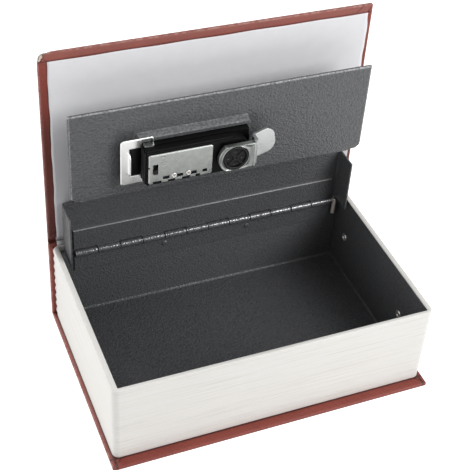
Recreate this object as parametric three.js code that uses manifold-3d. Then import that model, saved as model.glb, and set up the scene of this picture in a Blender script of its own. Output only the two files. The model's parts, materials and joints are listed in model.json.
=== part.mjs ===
// Book diversion safe with a three-dial combination lock.
// It lies on its back cover, with the front cover and the steel lid both standing open.
// Millimetres. X runs along the book, Y from its front edge to the spine, Z up.
// The origin is the middle of the footprint, on the underside of the back cover.

import * as THREE from 'three';
import { mergeVertices } from 'three/addons/utils/BufferGeometryUtils.js';
import Module from 'manifold-3d';

const wasm = await Module();
wasm.setup();

// Book cover
const boardThickness = 1.4;
const leatherette = 0.3;
const sideOverhang = 2;
const frontOverhang = 5.5;
const liningMargin = 16;
const endpaperMarginLeft = 4.5;
const endpaperMarginRight = 1.7;
const endpaperMarginTop = 4.5;
const endpaperMarginCrease = 1.5;
const creaseLength = 2.6;
const creaseThickness = 0.4;
const creaseGap = 0.3;
const closedCoverGap = 0.3;
const glueLine = 0.05;

// Page block casing
const casingWidth = 172;
const casingDepth = 109;
const casingHeight = 49.4;
const casingCorner = 3.5;
const casingSideWall = 1.7;
const casingFrontWall = 1;
const casingRearWall = 1.4;
const ribPitch = 5.4;
const ribDepth = 0.7;

// Steel box
const boxSheet = 0.8;
const boxGap = 0.3;
const boxRimDrop = 0.6;
const cornerSeam = 0.3;
const boxRivetRadius = 1.5;
const boxRivetHeadRadius = 2.4;
const boxRivetHeadHeight = 0.6;
const boxRivetSpacing = 67;
const boxRivetShift = 5.2;
const boxRivetHeight = 24;
const fitGap = 0.15;

// Piano hinge
const hingeDrop = 5;
const hingeShift = 0.8;
const knuckleCount = 12;
const knucklePitch = 12.65;
const knuckleRadius = 1.9;
const knuckleGap = 0.3;
const leafThickness = 0.9;
const lowerLeafHeight = 13;
const upperLeafHeight = 15;
const pinRadius = 0.95;
const pinClearance = 0.1;
const pinBendRadius = 1.6;
const pinReach = 2.6;
const pinHook = 10;
const hingeRivetSpacing = 49;
const hingeRivetDrop = 6.5;
const hingeRivetRadius = 0.9;
const hingeRivetHeadRadius = 1.6;
const hingeRivetHeadHeight = 0.5;

// Steel lid: a rear plate at the hinge, a slope, and a lock plate set down into the box
const lidSheet = 0.8;
const lidSideGap = 2.9;
const lidSwingGap = 0.3;
const lockPlateOffset = 16.6;
const rearPlateHeight = 34.5;
const lockPlateStart = 48.4;
const slopeInset = 6.5;
const flangeDepth = 12.5;
const flangeChamfer = 1;
const plateLowerCorner = 3;
const plateUpperCorner = 1;

// Lock, measured from its spindle
const lockReach = 71.4;
const spindleShift = 0;
const bossDepth = 4.5;
const bossRim = 2.8;
const bossCorner = 2.5;
const windowLeft = 45.4;
const windowRight = 10.5;
const windowHalfHeight = 10.4;
const windowGap = 0.3;
const bodyHalfHeight = 9.6;
const bodyStep = 7.6;
const bodyDepth = 13;
const bayLeft = 39.5;
const bayRight = 16;
const bayHalfHeight = 8.2;

// Number dials
const dialCount = 3;
const dialPitch = 7.4;
const firstDial = 35;
const dialRadius = 7.3;
const dialWidth = 5.2;
const dialHubRadius = 3.4;
const dialDepth = 3;
const dialDigits = 10;
const dialNotch = 0.55;
const axleRadius = 1.2;
const axleSeat = 2.4;
const runningGap = 0.1;

// Dial cover plate with its rivets, detent spring and code lever
const coverPlateLeft = 44.4;
const coverPlateRight = 11.4;
const coverPlateHalfHeight = 8.6;
const coverPlateThickness = 1;
const coverPlateCorner = 0.8;
const coverNotchWidth = 3.6;
const coverNotchHeight = 1.8;
const coverRivetRadius = 0.8;
const coverRivetHeadRadius = 1.4;
const coverRivetHeadHeight = 0.6;
const coverRivetDrop = 5.3;
const springSheet = 0.3;
const springFingerWidth = 3;
const springFingerLength = 8;
const springBaseHeight = 3.4;
const leverAcross = 40.9;
const leverWidth = 2;
const leverLength = 2.6;
const leverTravel = 2.4;
const leverBaseLength = 4.2;
const leverBaseThickness = 1.4;
const leverStand = 0.9;
const slotGap = 0.3;

// Outer bezel and turn knob
const bezelMargin = 3.2;
const bezelThickness = 2;
const bezelCorner = 3;
const spindleRadius = 3;
const knobBaseRadius = 8.6;
const knobBaseThickness = 2.2;
const knobBarLength = 16.4;
const knobBarWidth = 5.4;
const knobBarHeight = 8.4;

// Cam latch
const camHalfHeight = 7.2;
const camArc = 9;
const camPlateThickness = 2.7;
const camFloor = 1;
const camRise = 1.3;
const camEdge = 10.2;
const camChamfer = 2.4;
const tongueDepth = 8.2;
const tongueThickness = 1.8;
const tongueRadius = 24;
const tongueEdgeAngle = 26;
const capRadius = 6.6;
const capProud = 0.3;
const collarRadius = 5;

// Retaining clip
const clipSheet = 0.8;
const clipReach = 10.6;
const clipGrip = 6.6;
const clipHalfHeight = 13.4;
const clipMouthHalfHeight = 8.2;
const clipWeb = 4.5;
const clipLip = 2.6;
const clipLipHalfHeight = 6.4;
const clipCorner = 1.6;

// Strike bracket on the front wall
const strikeWidth = 32;
const strikeSheet = 1.5;
const strikeLip = 10.5;
const strikeShift = -2;
const strikeGap = 0.4;
const strikeRivetSpacing = 20;
const strikeRivetRadius = 1.2;
const strikeRivetHeadRadius = 2.2;
const strikeRivetHeadHeight = 0.7;
const lidRestGap = 0.3;

// Places worked out from the sizes above
const coverThickness = boardThickness + 2 * leatherette;
const coverHalfWidth = casingWidth / 2 + sideOverhang;
const footprintDepth = frontOverhang + casingDepth + coverThickness;
const coverFront = -footprintDepth / 2;
const casingFront = coverFront + frontOverhang;
const casingRear = casingFront + casingDepth;
const spineOuter = casingRear + coverThickness;
const casingBottom = coverThickness;
const rim = casingBottom + casingHeight;

const boxHalfWidth = casingWidth / 2 - casingSideWall - boxGap;
const boxFront = casingFront + casingFrontWall + boxGap;
const boxRear = casingRear - casingRearWall - boxGap;
const boxInnerHalfWidth = boxHalfWidth - boxSheet;
const boxInnerFront = boxFront + boxSheet;
const boxInnerRear = boxRear - boxSheet;
const boxBottom = casingBottom + glueLine;

const hingeY = boxInnerRear - knuckleRadius - glueLine;
const hingeZ = rim - hingeDrop;
const hingeLength = knuckleCount * knucklePitch;
const leafClearance = knuckleRadius + knuckleGap;

const creaseY = spineOuter - creaseThickness / 2;
const lowerCreaseZ = rim + closedCoverGap + (creaseY - casingRear);
const upperCreaseZ = lowerCreaseZ + creaseLength;
const spineTop = lowerCreaseZ - creaseGap;
const frontCoverBottom = upperCreaseZ + creaseGap;
const frontCoverTop = lowerCreaseZ + (creaseY - coverFront);

const lidHalfWidth = boxInnerHalfWidth - lidSideGap;
const lidRadius = hingeY - boxInnerFront - lidSwingGap;
const lidReach = Math.sqrt(lidRadius ** 2 - lockPlateOffset ** 2);
const rearPlateFace = knuckleRadius + glueLine;

const bossFace = bossDepth - lidSheet;
const camSeat = bodyDepth + camRise;
const camTop = camSeat + camPlateThickness;
const camPocketFloor = camSeat + camFloor;
const bezelFace = lidSheet + glueLine + bezelThickness;
const coverPlateTop = bodyDepth + glueLine + coverPlateThickness;
const dialChord = Math.sqrt(dialRadius ** 2 - (dialDepth + lidSheet + glueLine) ** 2);

// Materials, one colour for each finish
const finishes = {
  leatherette: { color: 0x6e2f26, roughness: 0.6, metalness: 0 },
  greyboard: { color: 0x8d8378, roughness: 0.9, metalness: 0 },
  endpaper: { color: 0xe9e9ec, roughness: 0.75, metalness: 0 },
  pagePlastic: { color: 0xeeebe6, roughness: 0.6, metalness: 0 },
  powderCoat: { color: 0x4b4c50, roughness: 0.55, metalness: 0.3 },
  bareSteel: { color: 0xb9b9bb, roughness: 0.35, metalness: 1 },
  zincPlate: { color: 0xc9cccf, roughness: 0.3, metalness: 1 },
  chrome: { color: 0xdcdde0, roughness: 0.15, metalness: 1 },
  blackPlastic: { color: 0x1b1b1d, roughness: 0.45, metalness: 0 },
};

function finish(name) {
  return new THREE.MeshStandardMaterial(finishes[name]);
}

// Solid helpers

function toSolid(geometry) {
  const plain = geometry.clone();
  plain.deleteAttribute('normal');
  plain.deleteAttribute('uv');
  const merged = mergeVertices(plain, 1e-4);
  const vertProperties = new Float32Array(merged.attributes.position.array);
  const triVerts = new Uint32Array(merged.index.array);
  return new wasm.Manifold(new wasm.Mesh({ numProp: 3, vertProperties, triVerts }));
}

function toGeometry(solid) {
  const mesh = solid.getMesh();
  const geometry = new THREE.BufferGeometry();
  geometry.setAttribute('position', new THREE.BufferAttribute(mesh.vertProperties, 3));
  geometry.setIndex(new THREE.BufferAttribute(mesh.triVerts, 1));
  geometry.computeVertexNormals();
  return geometry;
}

// A block between two corners, each span given as [low, high].
function block(x, y, z) {
  const geometry = new THREE.BoxGeometry(x[1] - x[0], y[1] - y[0], z[1] - z[0]);
  geometry.translate((x[0] + x[1]) / 2, (y[0] + y[1]) / 2, (z[0] + z[1]) / 2);
  return toSolid(geometry);
}

// A round bar along X, Y or Z: its centre line passes through (a, b) of the other two axes.
function bar(axis, radius, from, to, a, b, sides = 24) {
  const geometry = new THREE.CylinderGeometry(radius, radius, to - from, sides);
  const middle = (from + to) / 2;
  if (axis === 'x') {
    geometry.rotateZ(Math.PI / 2);
    geometry.translate(middle, a, b);
  } else if (axis === 'y') {
    geometry.translate(a, middle, b);
  } else {
    geometry.rotateX(Math.PI / 2);
    geometry.translate(a, b, middle);
  }
  return toSolid(geometry);
}

// A flat outline in X and Z, given thickness between two depths. Depth grows towards -Y.
function sheet(outline, nearDepth, farDepth, segments = 8) {
  const options = { depth: farDepth - nearDepth, bevelEnabled: false, curveSegments: segments };
  const geometry = new THREE.ExtrudeGeometry(outline, options);
  geometry.rotateX(Math.PI / 2);
  geometry.translate(0, -nearDepth, 0);
  return toSolid(geometry);
}

// A profile in Y and Z, drawn out along X.
function channel(points, fromX, toX) {
  const outline = new THREE.Shape(points.map(([y, z]) => new THREE.Vector2(y, z)));
  const geometry = new THREE.ExtrudeGeometry(outline, { depth: toX - fromX, bevelEnabled: false });
  geometry.rotateY(Math.PI / 2);
  geometry.rotateX(Math.PI / 2);
  geometry.translate(fromX, 0, 0);
  return toSolid(geometry);
}

// A rectangle with rounded corners. Its two upper corners may have a radius of their own.
function roundedOutline(x, z, radius, upperRadius = radius) {
  const shape = new THREE.Shape();
  shape.moveTo(x[0] + radius, z[0]);
  shape.lineTo(x[1] - radius, z[0]);
  shape.absarc(x[1] - radius, z[0] + radius, radius, -Math.PI / 2, 0, false);
  shape.lineTo(x[1], z[1] - upperRadius);
  shape.absarc(x[1] - upperRadius, z[1] - upperRadius, upperRadius, 0, Math.PI / 2, false);
  shape.lineTo(x[0] + upperRadius, z[1]);
  shape.absarc(x[0] + upperRadius, z[1] - upperRadius, upperRadius, Math.PI / 2, Math.PI, false);
  shape.lineTo(x[0], z[0] + radius);
  shape.absarc(x[0] + radius, z[0] + radius, radius, Math.PI, 1.5 * Math.PI, false);
  return shape;
}

// A rivet along an axis: a shank and one low domed head. The head lies on the low side.
function rivet(radius, length, headRadius, headHeight) {
  const profile = [
    [0, -headHeight],
    [headRadius * 0.55, -headHeight * 0.85],
    [headRadius, 0],
    [radius, 0],
    [radius, length],
    [0, length],
  ];
  const points = profile.map(([r, h]) => new THREE.Vector2(r, h));
  return new THREE.LatheGeometry(points, 24);
}

function addPiece(group, name, solid, finishName) {
  const mesh = new THREE.Mesh(toGeometry(solid), finish(finishName));
  mesh.name = name;
  group.add(mesh);
  return mesh;
}

function around(middle, half) {
  return [middle - half, middle + half];
}

// Book cover: boards wrapped in leatherette, spine, crease and papers

// A board wrapped on its outer face and edges, with turn-ins round an opening on the inner face.
function wrappedBoard(span, innerFace, opening) {
  const inset = ([low, high]) => [low + leatherette, high - leatherette];
  const board = block(inset(span.x), inset(span.y), inset(span.z));
  const room = block(...['x', 'y', 'z'].map((axis) => {
    const [low, high] = inset(span[axis]);
    return [low - glueLine, high + glueLine];
  }));
  const whole = block(span.x, span.y, span.z);
  const window = { ...opening, [innerFace.axis]: innerFace.span };
  return { board, wrap: whole.subtract(room).subtract(block(window.x, window.y, window.z)) };
}

function addBackCover(book) {
  const span = {
    x: around(0, coverHalfWidth),
    y: [coverFront, casingRear - glueLine],
    z: [0, coverThickness],
  };
  const opening = {
    x: around(0, coverHalfWidth - liningMargin),
    y: [span.y[0] + liningMargin, span.y[1] - liningMargin],
  };
  const innerSpan = [coverThickness - leatherette - glueLine, coverThickness + 1];
  const innerFace = { axis: 'z', span: innerSpan };
  const { board, wrap } = wrappedBoard(span, innerFace, opening);
  addPiece(book, 'back_cover_leatherette', wrap, 'leatherette');
  addPiece(book, 'back_cover_board', board, 'greyboard');
  const lining = block(
    [opening.x[0] + glueLine, opening.x[1] - glueLine],
    [opening.y[0] + glueLine, opening.y[1] - glueLine],
    [coverThickness - leatherette + glueLine, coverThickness],
  );
  addPiece(book, 'back_lining_paper', lining, 'endpaper');
}

function addSpine(book) {
  const x = around(0, coverHalfWidth);
  const y = [casingRear, spineOuter];
  const z = [0, spineTop];
  const boardX = [x[0] + leatherette, x[1] - leatherette];
  const boardZ = [z[0] + leatherette, z[1] - leatherette];
  const board = block(boardX, [y[0], y[1] - leatherette], boardZ);
  const grow = ([low, high]) => [low - glueLine, high + glueLine];
  const room = block(grow(boardX), [y[0] - 1, y[1] - leatherette + glueLine], grow(boardZ));
  addPiece(book, 'spine_leatherette', block(x, y, z).subtract(room), 'leatherette');
  addPiece(book, 'spine_board', board, 'greyboard');
}

function addFrontCover(book) {
  const crease = block(
    around(0, coverHalfWidth),
    around(creaseY, creaseThickness / 2),
    [lowerCreaseZ + creaseGap, upperCreaseZ - creaseGap],
  );
  addPiece(book, 'front_cover_crease', crease, 'leatherette');

  const span = {
    x: around(0, coverHalfWidth),
    y: [casingRear, spineOuter],
    z: [frontCoverBottom, frontCoverTop],
  };
  const opening = {
    x: [span.x[0] + endpaperMarginLeft, span.x[1] - endpaperMarginRight],
    z: [span.z[0] + endpaperMarginCrease, span.z[1] - endpaperMarginTop],
  };
  const innerFace = { axis: 'y', span: [casingRear - 1, casingRear + leatherette + glueLine] };
  const { board, wrap } = wrappedBoard(span, innerFace, opening);
  addPiece(book, 'front_cover_leatherette', wrap, 'leatherette');
  addPiece(book, 'front_cover_board', board, 'greyboard');
  const endpaper = block(
    [opening.x[0] + glueLine, opening.x[1] - glueLine],
    [casingRear, casingRear + leatherette - glueLine],
    [opening.z[0] + glueLine, opening.z[1] - glueLine],
  );
  addPiece(book, 'front_endpaper', endpaper, 'endpaper');
}

// Page block casing: a moulded frame with a ribbed back

function ribbedProfile() {
  const ribs = Math.floor(casingHeight / ribPitch);
  const margin = (casingHeight - ribs * ribPitch) / 2;
  const steps = 6;
  const points = [
    [casingFront - 1, casingBottom + glueLine],
    [casingRear - glueLine - ribDepth, casingBottom + glueLine],
  ];
  for (let i = 0; i <= ribs * steps; i += 1) {
    const bulge = Math.abs(Math.sin((Math.PI * i) / steps));
    const z = casingBottom + margin + (i * ribPitch) / steps;
    points.push([casingRear - glueLine - ribDepth * (1 - bulge), z]);
  }
  points.push([casingRear - glueLine - ribDepth, rim], [casingFront - 1, rim]);
  return points;
}

function boxRivetPlaces() {
  const y = (boxInnerFront + boxInnerRear) / 2 + boxRivetShift;
  const places = [];
  for (const side of [-1, 1]) {
    for (const end of [-1, 1]) {
      places.push({ side, y: y + (end * boxRivetSpacing) / 2, z: casingBottom + boxRivetHeight });
    }
  }
  return places;
}

function sideHoles() {
  const radius = boxRivetRadius + fitGap;
  const holes = boxRivetPlaces().map(({ side, y, z }) => {
    const x = [side * (boxInnerHalfWidth - 1), side * (casingWidth / 2 - casingSideWall / 2)];
    return bar('x', radius, Math.min(...x), Math.max(...x), y, z, 16);
  });
  return wasm.Manifold.union(holes);
}

function addCasing(book) {
  const halfWidth = casingWidth / 2;
  const outline = roundedOutline(around(0, halfWidth), [casingFront, casingRear], casingCorner);
  const options = { depth: casingHeight + 2, bevelEnabled: false, curveSegments: 6 };
  const prism = new THREE.ExtrudeGeometry(outline, options).translate(0, 0, casingBottom - 1);
  const ribbed = channel(ribbedProfile(), -casingWidth, casingWidth);
  const inside = block(
    around(0, halfWidth - casingSideWall),
    [casingFront + casingFrontWall, casingRear - casingRearWall],
    [casingBottom - 1, rim + 1],
  );
  const frame = toSolid(prism).intersect(ribbed).subtract(inside).subtract(sideHoles());
  addPiece(book, 'page_block_casing', frame, 'pagePlastic');
}

// Steel box with open corner seams, and the rivets that hold it in the casing

function addBox(book) {
  const top = rim - boxRimDrop;
  const rearTop = hingeZ + leafClearance - knuckleGap;
  const seam = boxInnerHalfWidth - cornerSeam;
  const y = [boxFront, boxRear];
  const floor = block(around(0, boxHalfWidth), y, [boxBottom, boxBottom + boxSheet]);
  const left = block([-boxHalfWidth, -boxInnerHalfWidth], y, [boxBottom, top]);
  const right = block([boxInnerHalfWidth, boxHalfWidth], y, [boxBottom, top]);
  const front = block([-seam, seam], [boxFront, boxInnerFront], [boxBottom, top]);
  const rear = block([-seam, seam], [boxInnerRear, boxRear], [boxBottom, rearTop]);
  const shell = wasm.Manifold.union([floor, left, right, front, rear]);
  const drilled = shell.subtract(sideHoles()).subtract(hingeHoles()).subtract(strikeHoles());
  addPiece(book, 'steel_box', drilled, 'powderCoat');

  const length = boxSheet + boxGap + casingSideWall / 2 - fitGap;
  boxRivetPlaces().forEach((place, i) => {
    const geometry = rivet(boxRivetRadius, length, boxRivetHeadRadius, boxRivetHeadHeight);
    geometry.rotateZ(-place.side * Math.PI / 2);
    const mesh = addPiece(book, `box_rivet_${i + 1}`, toSolid(geometry), 'bareSteel');
    mesh.position.set(place.side * (boxInnerHalfWidth - glueLine), place.y, place.z);
  });
}

// Piano hinge: two leaves with rolled knuckles on one pin

function knuckles(first) {
  const start = hingeShift - hingeLength / 2;
  const solids = [];
  for (let i = first; i < knuckleCount; i += 2) {
    const from = start + i * knucklePitch + knuckleGap / 2;
    const to = start + (i + 1) * knucklePitch - knuckleGap / 2;
    const root = first === 0 ? [-leafClearance - 0.2, 0] : [0, leafClearance + 0.2];
    const tab = block([from, to], [knuckleRadius - leafThickness, knuckleRadius], root);
    solids.push(bar('x', knuckleRadius, from, to, 0, 0).add(tab));
  }
  const bore = bar('x', pinRadius + pinClearance, start - 1, start + hingeLength + 1, 0, 0);
  return wasm.Manifold.union(solids).subtract(bore);
}

function hingeLeaf(first, span) {
  const plate = block(
    around(hingeShift, hingeLength / 2),
    [knuckleRadius - leafThickness, knuckleRadius],
    span,
  );
  return plate.add(knuckles(first));
}

function hingeRivetPlaces() {
  return [-1, 1].map((end) => hingeShift + (end * hingeRivetSpacing) / 2);
}

function hingeHoles() {
  const holes = hingeRivetPlaces().map((x) => {
    const from = boxInnerRear - leafThickness - 1;
    return bar('y', hingeRivetRadius + fitGap, from, boxRear + 1, x, hingeZ - hingeRivetDrop, 16);
  });
  return wasm.Manifold.union(holes);
}

function addHinge(book, lid) {
  const hinge = new THREE.Group();
  hinge.position.set(0, hingeY, hingeZ);
  book.add(hinge);

  const holes = hingeHoles().translate([0, -hingeY, -hingeZ]);
  const lower = hingeLeaf(0, [-lowerLeafHeight, -leafClearance]).subtract(holes);
  addPiece(hinge, 'hinge_lower_leaf', lower, 'powderCoat');
  addPiece(lid, 'hinge_upper_leaf', hingeLeaf(1, [leafClearance, upperLeafHeight]), 'powderCoat');
  addPiece(hinge, 'hinge_pin', hingePin(), 'bareSteel');

  const length = leafThickness + glueLine + boxSheet;
  hingeRivetPlaces().forEach((x, i) => {
    const geometry = rivet(hingeRivetRadius, length, hingeRivetHeadRadius, hingeRivetHeadHeight);
    const mesh = addPiece(hinge, `hinge_rivet_${i + 1}`, toSolid(geometry), 'powderCoat');
    mesh.position.set(x, knuckleRadius - leafThickness - glueLine, -hingeRivetDrop);
  });
}

// The pin runs through every knuckle and is bent down at its right end.
function hingePin() {
  const left = hingeShift - hingeLength / 2;
  const bendStart = left + hingeLength + pinReach - pinBendRadius;
  const straight = bar('x', pinRadius, left, bendStart + 0.1, 0, 0, 16);
  const route = new THREE.CurvePath();
  const corner = new THREE.Vector3(bendStart + pinBendRadius, 0, 0);
  const from = new THREE.Vector3(bendStart, 0, 0);
  const turned = new THREE.Vector3(corner.x, 0, -pinBendRadius);
  route.add(new THREE.QuadraticBezierCurve3(from, corner, turned));
  route.add(new THREE.LineCurve3(turned, new THREE.Vector3(corner.x, 0, -pinHook)));
  const section = new THREE.Shape().absarc(0, 0, pinRadius, 0, 2 * Math.PI, false);
  const options = { steps: 20, curveSegments: 8, bevelEnabled: false, extrudePath: route };
  return straight.add(toSolid(new THREE.ExtrudeGeometry(section, options)));
}

// Steel lid, in a frame with its origin on the hinge line

function lidProfile() {
  const front = -lockPlateOffset;
  const run = rearPlateFace - front;
  const rise = lockPlateStart - rearPlateHeight;
  const slope = Math.hypot(run, rise);
  const back = (y) => rearPlateHeight + (lidSheet * slope + (rearPlateFace - y) * rise) / run;
  const rearBack = rearPlateFace + lidSheet;
  const lockBack = front + lidSheet;
  return [
    [rearPlateFace, leafClearance],
    [rearPlateFace, rearPlateHeight],
    [front, lockPlateStart],
    [front, lidReach],
    [lockBack, lidReach],
    [lockBack, back(lockBack)],
    [rearBack, back(rearBack)],
    [rearBack, leafClearance],
  ];
}

function addLid(lid) {
  const lidX = around(0, lidHalfWidth);
  const slopeHalf = lidHalfWidth - slopeInset;
  const folded = channel(lidProfile(), -slopeHalf, slopeHalf);
  const plateZ = [lockPlateStart, lidReach];
  const plateOutline = roundedOutline(lidX, plateZ, plateLowerCorner, plateUpperCorner);
  const lockPlate = sheet(plateOutline, lockPlateOffset - lidSheet, lockPlateOffset);
  const rearBack = rearPlateFace + lidSheet;
  const rearPlate = block(lidX, [rearPlateFace, rearBack], [leafClearance, rearPlateHeight]);
  const flangeProfile = [
    [-flangeDepth, leafClearance],
    [rearBack, leafClearance],
    [rearBack, rearPlateHeight],
    [-flangeDepth + flangeChamfer, rearPlateHeight],
    [-flangeDepth, rearPlateHeight - flangeChamfer],
  ];
  const flanges = [
    channel(flangeProfile, lidX[0], lidX[0] + lidSheet),
    channel(flangeProfile, lidX[1] - lidSheet, lidX[1]),
  ];

  const bossX = [spindleShift - windowLeft - bossRim, spindleShift + windowRight + bossRim];
  const bossZ = around(lockReach, windowHalfHeight + bossRim);
  const shrink = ([low, high]) => [low + lidSheet, high - lidSheet];
  const bossTop = lockPlateOffset + bossDepth;
  const boss = sheet(roundedOutline(bossX, bossZ, bossCorner), lockPlateOffset - lidSheet, bossTop);
  const innerCorner = bossCorner - lidSheet;
  const hollowOutline = roundedOutline(shrink(bossX), shrink(bossZ), innerCorner);
  const hollow = sheet(hollowOutline, lockPlateOffset - lidSheet - 1, bossTop - lidSheet);
  const window = block(
    [spindleShift - windowLeft, spindleShift + windowRight],
    [-bossTop - 1, -lockPlateOffset + lidSheet + 1],
    around(lockReach, windowHalfHeight),
  );
  const pressed = wasm.Manifold.union([folded, lockPlate, rearPlate, ...flanges, boss]);
  addPiece(lid, 'steel_lid', pressed.subtract(hollow).subtract(window), 'powderCoat');
}

// Lock, in a frame with its origin on the spindle, at the inner face of the lock plate.
// Depth is positive towards the inside of the safe.

function dialPlaces() {
  return Array.from({ length: dialCount }, (_, i) => -firstDial + i * dialPitch);
}

function bodyNose(nearDepth, farDepth) {
  const shape = new THREE.Shape();
  shape.moveTo(-windowLeft + windowGap, -bodyHalfHeight);
  shape.lineTo(0, -bodyHalfHeight);
  shape.absarc(0, 0, bodyHalfHeight, -Math.PI / 2, Math.PI / 2, false);
  shape.lineTo(-windowLeft + windowGap, bodyHalfHeight);
  return sheet(shape, nearDepth, farDepth, 12);
}

function addLockBody(lock) {
  const flangeGap = lidSheet + windowGap;
  const flangeX = [-windowLeft - bossRim + flangeGap, windowRight + bossRim - flangeGap];
  const flangeHalf = windowHalfHeight + bossRim - flangeGap;
  const flangeFace = bossFace - glueLine;
  const flangeOutline = roundedOutline(flangeX, around(0, flangeHalf), bossCorner - lidSheet);
  const flange = sheet(flangeOutline, -lidSheet, flangeFace);
  const stepX = [-windowLeft + windowGap, windowRight - windowGap];
  const step = block(stepX, [-bodyStep, -flangeFace + 0.1], around(0, windowHalfHeight - windowGap));
  const nose = bodyNose(bodyStep - 0.1, bodyDepth);
  const collar = bar('y', collarRadius, -bodyDepth - camRise + knuckleGap, -bodyDepth + 0.1, 0, 0);
  const bay = block([-bayLeft, -bayRight], [-bodyDepth - 1, lidSheet + 1], around(0, bayHalfHeight));
  const spindleBore = bar('y', spindleRadius + runningGap, -camSeat, lidSheet + 1, 0, 0);
  const seats = [-bayLeft - axleSeat, -bayRight + axleSeat];
  const axleBore = bar('x', axleRadius + runningGap, seats[0], seats[1], -dialDepth, 0, 16);
  const pocketHalf = (leverBaseLength + leverTravel) / 2 + slotGap;
  const leverPocket = block(
    [-leverAcross - leverWidth / 2 - slotGap, -bayLeft + 0.1],
    [-bodyDepth - 1, -bodyDepth + leverBaseThickness + 2 * slotGap],
    around(0, pocketHalf),
  );
  const body = wasm.Manifold.union([flange, step, nose, collar])
    .subtract(wasm.Manifold.union([bay, spindleBore, axleBore, leverPocket]));
  addPiece(lock, 'lock_body', body, 'blackPlastic');
}

function addDials(lock) {
  const axleSpan = [-bayLeft - axleSeat + slotGap, -bayRight + axleSeat - slotGap];
  const axle = bar('x', axleRadius, axleSpan[0], axleSpan[1], -dialDepth, 0, 16);
  addPiece(lock, 'dial_axle', axle, 'bareSteel');

  dialPlaces().forEach((x, i) => {
    const mesh = addPiece(lock, `number_dial_${i + 1}`, numberDial(), 'blackPlastic');
    mesh.position.set(x, -dialDepth, 0);
  });
}

// A dial has ten grip notches round its rim and a hub that keeps it off the next one.
function numberDial() {
  const hubHalf = (dialPitch - runningGap * 2) / 2;
  const rimBar = bar('x', dialRadius, -dialWidth / 2, dialWidth / 2, 0, 0, 40);
  const hub = bar('x', dialHubRadius, -hubHalf, hubHalf, 0, 0);
  const notches = [];
  for (let i = 0; i < dialDigits; i += 1) {
    const angle = (2 * Math.PI * (i + 0.5)) / dialDigits;
    const reach = dialRadius + dialNotch;
    const y = reach * Math.cos(angle);
    const z = reach * Math.sin(angle);
    notches.push(bar('x', 2 * dialNotch, -dialWidth, dialWidth, y, z, 8));
  }
  const bore = bar('x', axleRadius + runningGap, -dialPitch, dialPitch, 0, 0, 16);
  return rimBar.subtract(wasm.Manifold.union(notches)).add(hub).subtract(bore);
}

function coverRivetPlaces() {
  const places = dialPlaces();
  return [0, 1].map((i) => (places[i] + places[i + 1]) / 2);
}

function coverRivetHoles() {
  const holes = coverRivetPlaces().map((x) => {
    return bar('y', coverRivetRadius + fitGap, -coverPlateTop - 1, 0, x, -coverRivetDrop, 16);
  });
  return wasm.Manifold.union(holes);
}

function addCoverPlate(lock) {
  const bottom = bodyDepth + glueLine;
  const x = [-coverPlateLeft, -coverPlateRight];
  const outline = roundedOutline(x, around(0, coverPlateHalfHeight), coverPlateCorner);
  const plate = sheet(outline, bottom, coverPlateTop);
  const slotHalf = (leverLength + leverTravel) / 2 + slotGap;
  const slot = block(
    around(-leverAcross, leverWidth / 2 + slotGap),
    [-coverPlateTop - 1, -bottom + 1],
    around(0, slotHalf),
  );
  const edge = [-coverPlateHalfHeight - 1, -coverPlateHalfHeight + coverNotchHeight];
  const notches = dialPlaces().map((place) => {
    return block(around(place, coverNotchWidth / 2), [-coverPlateTop - 1, -bottom + 1], edge);
  });
  const cuts = wasm.Manifold.union([slot, coverRivetHoles(), ...notches]);
  addPiece(lock, 'dial_cover_plate', plate.subtract(cuts), 'zincPlate');

  const length = coverPlateThickness + 2 * glueLine + springSheet + slotGap;
  coverRivetPlaces().forEach((place, i) => {
    const geometry = rivet(coverRivetRadius, length, coverRivetHeadRadius, coverRivetHeadHeight);
    const mesh = addPiece(lock, `cover_rivet_${i + 1}`, toSolid(geometry), 'bareSteel');
    mesh.position.set(place, -coverPlateTop - glueLine, -coverRivetDrop);
  });
}

// One stamped comb: a strip under the cover plate, and a finger that rides on each dial.
function addDetentSpring(lock) {
  const places = dialPlaces();
  const y = [-bodyDepth, -bodyDepth + springSheet];
  const stripX = [places[0] - springFingerWidth / 2, places[dialCount - 1] + springFingerWidth / 2];
  const strip = block(stripX, y, around(-coverRivetDrop, springBaseHeight / 2));
  const root = -coverRivetDrop + springBaseHeight / 2 - 0.1;
  const touch = -dialDepth - dialRadius - slotGap;
  const finger = [
    [y[0], root],
    [y[1], root],
    [touch, root + springFingerLength],
    [touch - springSheet, root + springFingerLength],
  ];
  const fingers = places.map((x) => {
    return channel(finger, x - springFingerWidth / 2, x + springFingerWidth / 2);
  });
  const comb = wasm.Manifold.union([strip, ...fingers]).subtract(coverRivetHoles());
  addPiece(lock, 'dial_detent_spring', comb, 'bareSteel');
}

// The code lever is drawn at the bottom of its slot.
function addCodeLever(lock) {
  const start = -(leverLength + leverTravel) / 2;
  const middle = start + leverLength / 2;
  const top = -coverPlateTop - leverStand;
  const baseTop = -bodyDepth + slotGap;
  const x = around(-leverAcross, leverWidth / 2);
  const tab = block(x, [top, baseTop + 0.1], [start, start + leverLength]);
  const footY = [baseTop, baseTop + leverBaseThickness];
  const foot = block(x, footY, around(middle, leverBaseLength / 2));
  addPiece(lock, 'code_lever', tab.add(foot), 'blackPlastic');
}

function addBezel(lock) {
  const x = [-windowLeft - bossRim - bezelMargin, windowRight + bossRim + bezelMargin];
  const half = windowHalfHeight + bossRim + bezelMargin;
  const face = -lidSheet - glueLine;
  const plate = sheet(roundedOutline(x, around(0, half), bezelCorner), face - bezelThickness, face);
  const slots = dialPlaces().map((place) => {
    const slotX = around(place, dialWidth / 2 + slotGap);
    return block(slotX, [lidSheet - 1, bezelFace + 1], around(0, dialChord + slotGap));
  });
  const bore = bar('y', spindleRadius + runningGap, lidSheet - 1, bezelFace + 1, 0, 0);
  addPiece(lock, 'outer_bezel', plate.subtract(wasm.Manifold.union([...slots, bore])), 'chrome');
}

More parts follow.
